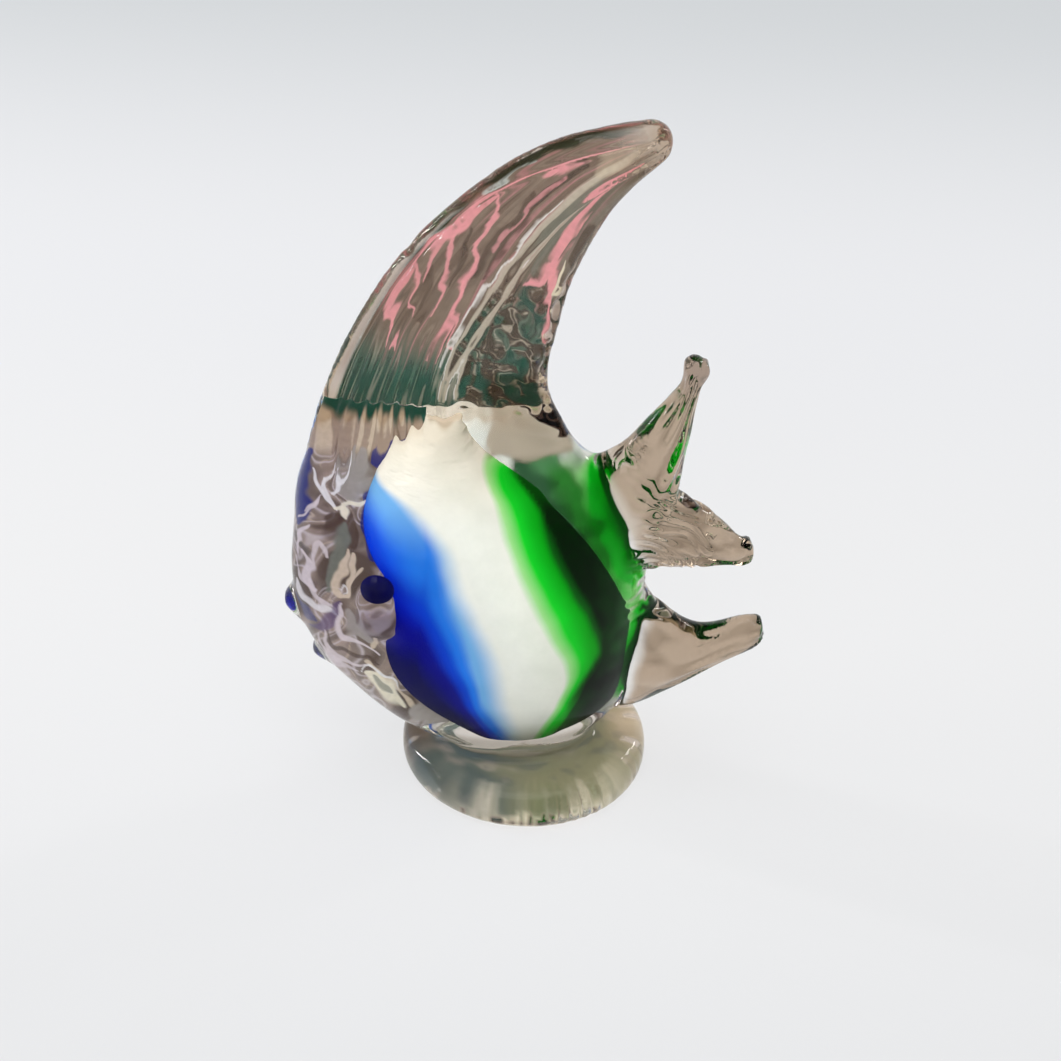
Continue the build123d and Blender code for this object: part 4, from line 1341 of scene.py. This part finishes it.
def face_cast(points):
    """Colour of the face veil, a painted refraction of darker surroundings: marbled grey brown, beige streaks
    at the crown, and the face's strokes, the chalk and cream ones painted highlights.
    """
    c = colours()
    z = points[:, 2]
    warp = np.stack((ripple(points, 0.013, 103), 0 * z, ripple(points, 0.011, 107)), 1)
    bent = points + 0.0030 * warp
    marble = ripple(bent * (1.0, 1, 0.5), 0.0075, 109)
    vein = ripple(bent * (1.0, 1, 0.4), 0.0042, 127)
    colour = np.tile(c.face_refraction_grey, (len(points), 1)) * (1 + 0.30 * vein)[:, None]
    colour = blended(colour, 0.85 * ease(0.0, 0.7, marble), c.umber)
    colour = blended(colour, 0.6 * bump_at(-0.35, 0.10, marble), c.lavender)
    colour = blended(colour, 0.5 * bump_at(-0.95, 0.10, marble), c.lavender)
    colour = blended(colour, 0.5 * bump_at(0.0, 0.07, vein) * ease(0.2, -0.4, marble), c.sand)
    streak = ripple(points * (1, 1, 0.12), 0.0042, 137)
    beige = np.array(c.taupe) * 1.6
    crown = blended(np.tile(beige, (len(points), 1)), 0.8 * ease(0.1, 0.8, streak), c.umber)
    crown = blended(crown, 0.7 * ease(-0.6, -1.0, streak), c.sand)
    colour = blended(colour, ease(0.084, 0.089, z), crown)
    colour = blended(colour, ease(0.0945, 0.0985, z + 0.0026 * streak), c.teal)
    fine = np.stack((ripple(points, 0.0045, 141), 0 * z, ripple(points, 0.0045, 143)), 1)
    spots = (points + 0.0005 * warp + 0.00035 * fine)[:, [0, 2]] * 1000
    for name, strength, width, line in face_strokes:
        reach = width * (1 + 0.30 * vein)
        colour = blended(colour, strength * stroke(spots, line, reach), getattr(c, name))
    return np.clip(colour, 0, 1)


class FISH_OT_glass(bpy.types.Operator):
    """Fuses the gathers of clear glass into one skin and works its ribs, folds and ripples"""

    bl_idname = "glass_fish.glass"
    bl_label = "Clear glass"

    def execute(self, context):
        grain = sizes().glass_grain
        mesh = fused(mesh_of("gathers", gathers()), grain)
        points, edges = points_of(mesh), edges_of(mesh)
        points = steadied(points, edges, steadying_rounds)
        points = relaxed(points, edges, np.full(len(points), 0.5), relaxing_rounds)
        outside = beyond_casing(points)
        joint = bump_at(1.06, 0.10, outside) * ease(0.009, 0.013, points[:, 2])
        points = relaxed(points, edges, 0.5 * joint, joint_rounds)
        points[:, 2] -= points[:, 2].min()
        move_points(mesh, points)
        crown = sizes().foot_thickness + sizes().neck_web + sizes().body_height
        x, y, z = points.T
        in_dorsal = (z > crown - 0.010) & (abs(y) < 0.012)
        in_root = (x > 0.020) & (x < 0.042) & (z > 0.044) & (z < 0.082) & (abs(y) < 0.012)
        finer(mesh, in_dorsal | in_root)
        points = relaxed(points_of(mesh), edges_of(mesh), np.full(len(mesh.vertices), 0.5), finer_rounds)
        move_points(mesh, points)
        points, normals = points_of(mesh), normals_of(mesh)
        points = points + normals * worked(points, normals)[:, None]
        points[:, 2] = np.maximum(points[:, 2], 0)
        move_points(mesh, points)
        paint(mesh, "cast", glass_tint(points))
        keep(mesh, "clarity", 1 - foot_film(points))
        mesh.name = "clear_glass_body"
        replaced = (
            "clear_casing",
            "dorsal_fin",
            "tail_fin",
            "anal_fin",
            "upper_lip",
            "lower_lip",
            "left_eye_drop",
            "right_eye_drop",
            "foot_collar",
            "foot_disc",
        )
        piece("clear_glass_body", mesh, "clear_glass", clear_glass(), *replaced)
        return {"FINISHED"}


class FISH_OT_core(bpy.types.Operator):
    """Gives the white core and its blue and green overlays their colours"""

    bl_idname = "glass_fish.core"
    bl_label = "Coloured core"

    def execute(self, context):
        for node in ("white_core", "blue_overlay", "green_overlay"):
            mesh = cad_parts[node].data
            mesh.materials.clear()
            mesh.materials.append(core_glass(node + "_glass"))
        for node in ("left_pupil", "right_pupil"):
            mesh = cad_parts[node].data
            mesh.materials.clear()
            mesh.materials.append(pupil_glass())
        return {"FINISHED"}


class FISH_OT_dorsal_veil(bpy.types.Operator):
    """Lays the sheet of taupe, pink and teal glass inside the dorsal fin, its taupe a painted refraction of a
    dim room
    """

    bl_idname = "glass_fish.dorsal_veil"
    bl_label = "Dorsal veil"

    def execute(self, context):
        front, rear = dorsal_veil_edges()
        mesh = sheet("dorsal_veil_threads", front, rear, (280, 320), 0.9 * sizes().veil_thickness)
        points = points_of(mesh)
        colour, along, across = dorsal_cast(points)
        paint(mesh, "cast", colour)
        edge = ease(0.055, 0.085, across) * ease(0.945, 0.915, across) * ease(0.60, 0.52, along)
        keep(mesh, "amount", 0.80 * edge)
        piece("dorsal_veil_threads", mesh, "threaded_glass", veil_glass("dorsal_threads"), "dorsal_veil")
        return {"FINISHED"}


class FISH_OT_face_veil(bpy.types.Operator):
    """Lays the sheet of brown, pale and dark blue swirls inside the face, a painted refraction of darker
    surroundings
    """

    bl_idname = "glass_fish.face_veil"
    bl_label = "Face veil"

    def execute(self, context):
        # The face veil is a painted refraction of darker surroundings, with painted highlights
        mesh = sheet("face_veil_painted_refraction", *face_veil_edges(), (380, 240), 0.9 * sizes().veil_thickness)
        points = points_of(mesh)
        paint(mesh, "cast", face_cast(points))
        keep(mesh, "amount", np.full(len(points), 0.88))
        piece("face_veil_painted_refraction", mesh, "smoke_glass", veil_glass("face_painted_refraction"), "face_veil")
        return {"FINISHED"}


class FISH_OT_stage(bpy.types.Operator):
    """Sets the pale floor, the soft lamps, the room and the camera"""

    bl_idname = "glass_fish.stage"
    bl_label = "Studio"

    def execute(self, context):
        look = context.scene.studio_look
        floor = bpy.data.meshes.new("floor")
        reach = 6.0
        floor.from_pydata(
            [(side * reach, end * reach, -floor_drop) for side, end in ((-1, -1), (1, -1), (1, 1), (-1, 1))],
            [],
            [(0, 1, 2, 3)],
        )
        r = Recipe("floor_paper")
        ground = tuple(look.ground)
        # Painted light: the paper brightest in a band just behind the fish, falling off darker to the front
        # and far back
        behind = r.node("SeparateXYZ", {0: r.place()}, out=1)
        depth = r.node("MapRange", {"Value": behind, "From Min": -0.3, "From Max": 1.1})
        paper = r.ramp(
            depth,
            (
                (0.0, (0.86, 0.87, 0.88)),
                (0.26, (1.0, 1.0, 1.0)),
                (0.40, (0.98, 0.985, 1.0)),
                (0.70, (0.80, 0.825, 0.84)),
            ),
        )
        paper = r.mix(1.0, paper, ground, "MULTIPLY")
        diffuse = r.node("BsdfDiffuse", {"Color": paper})
        glow = r.node("Emission", {"Color": paper})
        path = r.node("LightPath").node
        seen = r.math("MAXIMUM", r.math("MAXIMUM", path.outputs[0], path.outputs[3]), path.outputs[6])
        shown = r.math("MULTIPLY", seen, 0.8)
        floor.materials.append(r.finish(r.node("MixShader", {0: shown, 1: diffuse, 2: glow})))
        ground_object = bpy.data.objects.new("floor", floor)
        context.scene.collection.objects.link(ground_object)

        world = bpy.data.worlds.new("room")
        world.use_nodes = True
        tree = world.node_tree
        tree.nodes.clear()
        output = tree.nodes.new("ShaderNodeOutputWorld")
        background = tree.nodes.new("ShaderNodeBackground")
        direction = tree.nodes.new("ShaderNodeTexCoord")
        split = tree.nodes.new("ShaderNodeSeparateXYZ")
        ramp = tree.nodes.new("ShaderNodeValToRGB")
        tree.links.new(direction.outputs["Generated"], split.inputs[0])
        tree.links.new(split.outputs[2], ramp.inputs[0])
        tree.links.new(ramp.outputs[0], background.inputs[0])
        tree.links.new(background.outputs[0], output.inputs[0])
        ramp.color_ramp.elements[0].position = 0.30
        ramp.color_ramp.elements[0].color = (*ground, 1)
        ramp.color_ramp.elements[1].position = 0.62
        ramp.color_ramp.elements[1].color = (*look.ceiling, 1)
        context.scene.world = world

        lamps = (
            ("top_lamp", (0.0, -0.1, 1.4), 1.1, 1.1, look.top_power),
            ("side_lamp", (-1.0, 0.34, 0.52), 0.04, 0.5, look.side_power),
            ("strip_lamp", (-0.95, -0.05, 0.50), 0.5, 0.02, look.strip_power),
            ("rear_lamp", (0.9, 0.75, 0.8), 0.1, 0.5, look.rear_power),
            ("front_lamp", (-0.35, -1.25, 0.85), 0.9, 0.9, look.front_power),
        )
        for name, place, width, height, power in lamps:
            lamp = bpy.data.lights.new(name, "AREA")
            lamp.shape = "RECTANGLE"
            lamp.size, lamp.size_y, lamp.energy = width, height, power
            holder = bpy.data.objects.new(name, lamp)
            holder.location = place
            holder.rotation_euler = (Vector((0, 0, 0.07)) - Vector(place)).to_track_quat("-Z", "Y").to_euler()
            holder.visible_camera = False
            holder.visible_glossy = name != "front_lamp"
            context.scene.collection.objects.link(holder)

        camera = bpy.data.cameras.new("camera")
        camera.lens, camera.sensor_width = camera_lens, camera_sensor
        camera.clip_start = 0.01
        holder = bpy.data.objects.new("camera", camera)
        look_way = (Vector(camera_target) - Vector(camera_place)).to_track_quat("-Z", "Y").to_matrix().to_4x4()
        roll = Matrix.Rotation(camera_roll, 4, "Z")
        holder.matrix_world = Matrix.Translation(camera_place) @ look_way @ roll
        context.scene.collection.objects.link(holder)
        context.scene.camera = holder
        context.scene.view_settings.view_transform = "Standard"
        return {"FINISHED"}


class FISH_PT_panel(bpy.types.Panel):
    """Lists the fish's sizes, colours and steps"""

    bl_label = "Glass angelfish"
    bl_idname = "FISH_PT_panel"
    bl_space_type = "VIEW_3D"
    bl_region_type = "UI"
    bl_category = "Glass fish"

    def draw(self, context):
        for step in (FISH_OT_glass, FISH_OT_core, FISH_OT_dorsal_veil, FISH_OT_face_veil, FISH_OT_stage):
            self.layout.operator(step.bl_idname)
        scene = context.scene
        for group in (scene.glass_fish_sizes, scene.glass_fish_colours, scene.studio_look):
            for name in group.bl_rna.properties.keys():
                if name not in ("rna_type", "name"):
                    self.layout.prop(group, name)


classes = (
    FishSizes,
    FishColours,
    StudioLook,
    FISH_OT_glass,
    FISH_OT_core,
    FISH_OT_dorsal_veil,
    FISH_OT_face_veil,
    FISH_OT_stage,
    FISH_PT_panel,
)


def register():
    for each in classes:
        bpy.utils.register_class(each)
    bpy.types.Scene.glass_fish_sizes = PointerProperty(type=FishSizes)
    bpy.types.Scene.glass_fish_colours = PointerProperty(type=FishColours)
    bpy.types.Scene.studio_look = PointerProperty(type=StudioLook)


def unregister():
    del bpy.types.Scene.studio_look
    del bpy.types.Scene.glass_fish_colours
    del bpy.types.Scene.glass_fish_sizes
    for each in reversed(classes):
        bpy.utils.unregister_class(each)


def main():
    register()
    bpy.ops.glass_fish.glass()
    bpy.ops.glass_fish.core()
    bpy.ops.glass_fish.dorsal_veil()
    bpy.ops.glass_fish.face_veil()
    bpy.ops.glass_fish.stage()


if __name__ == "__main__":
    main()
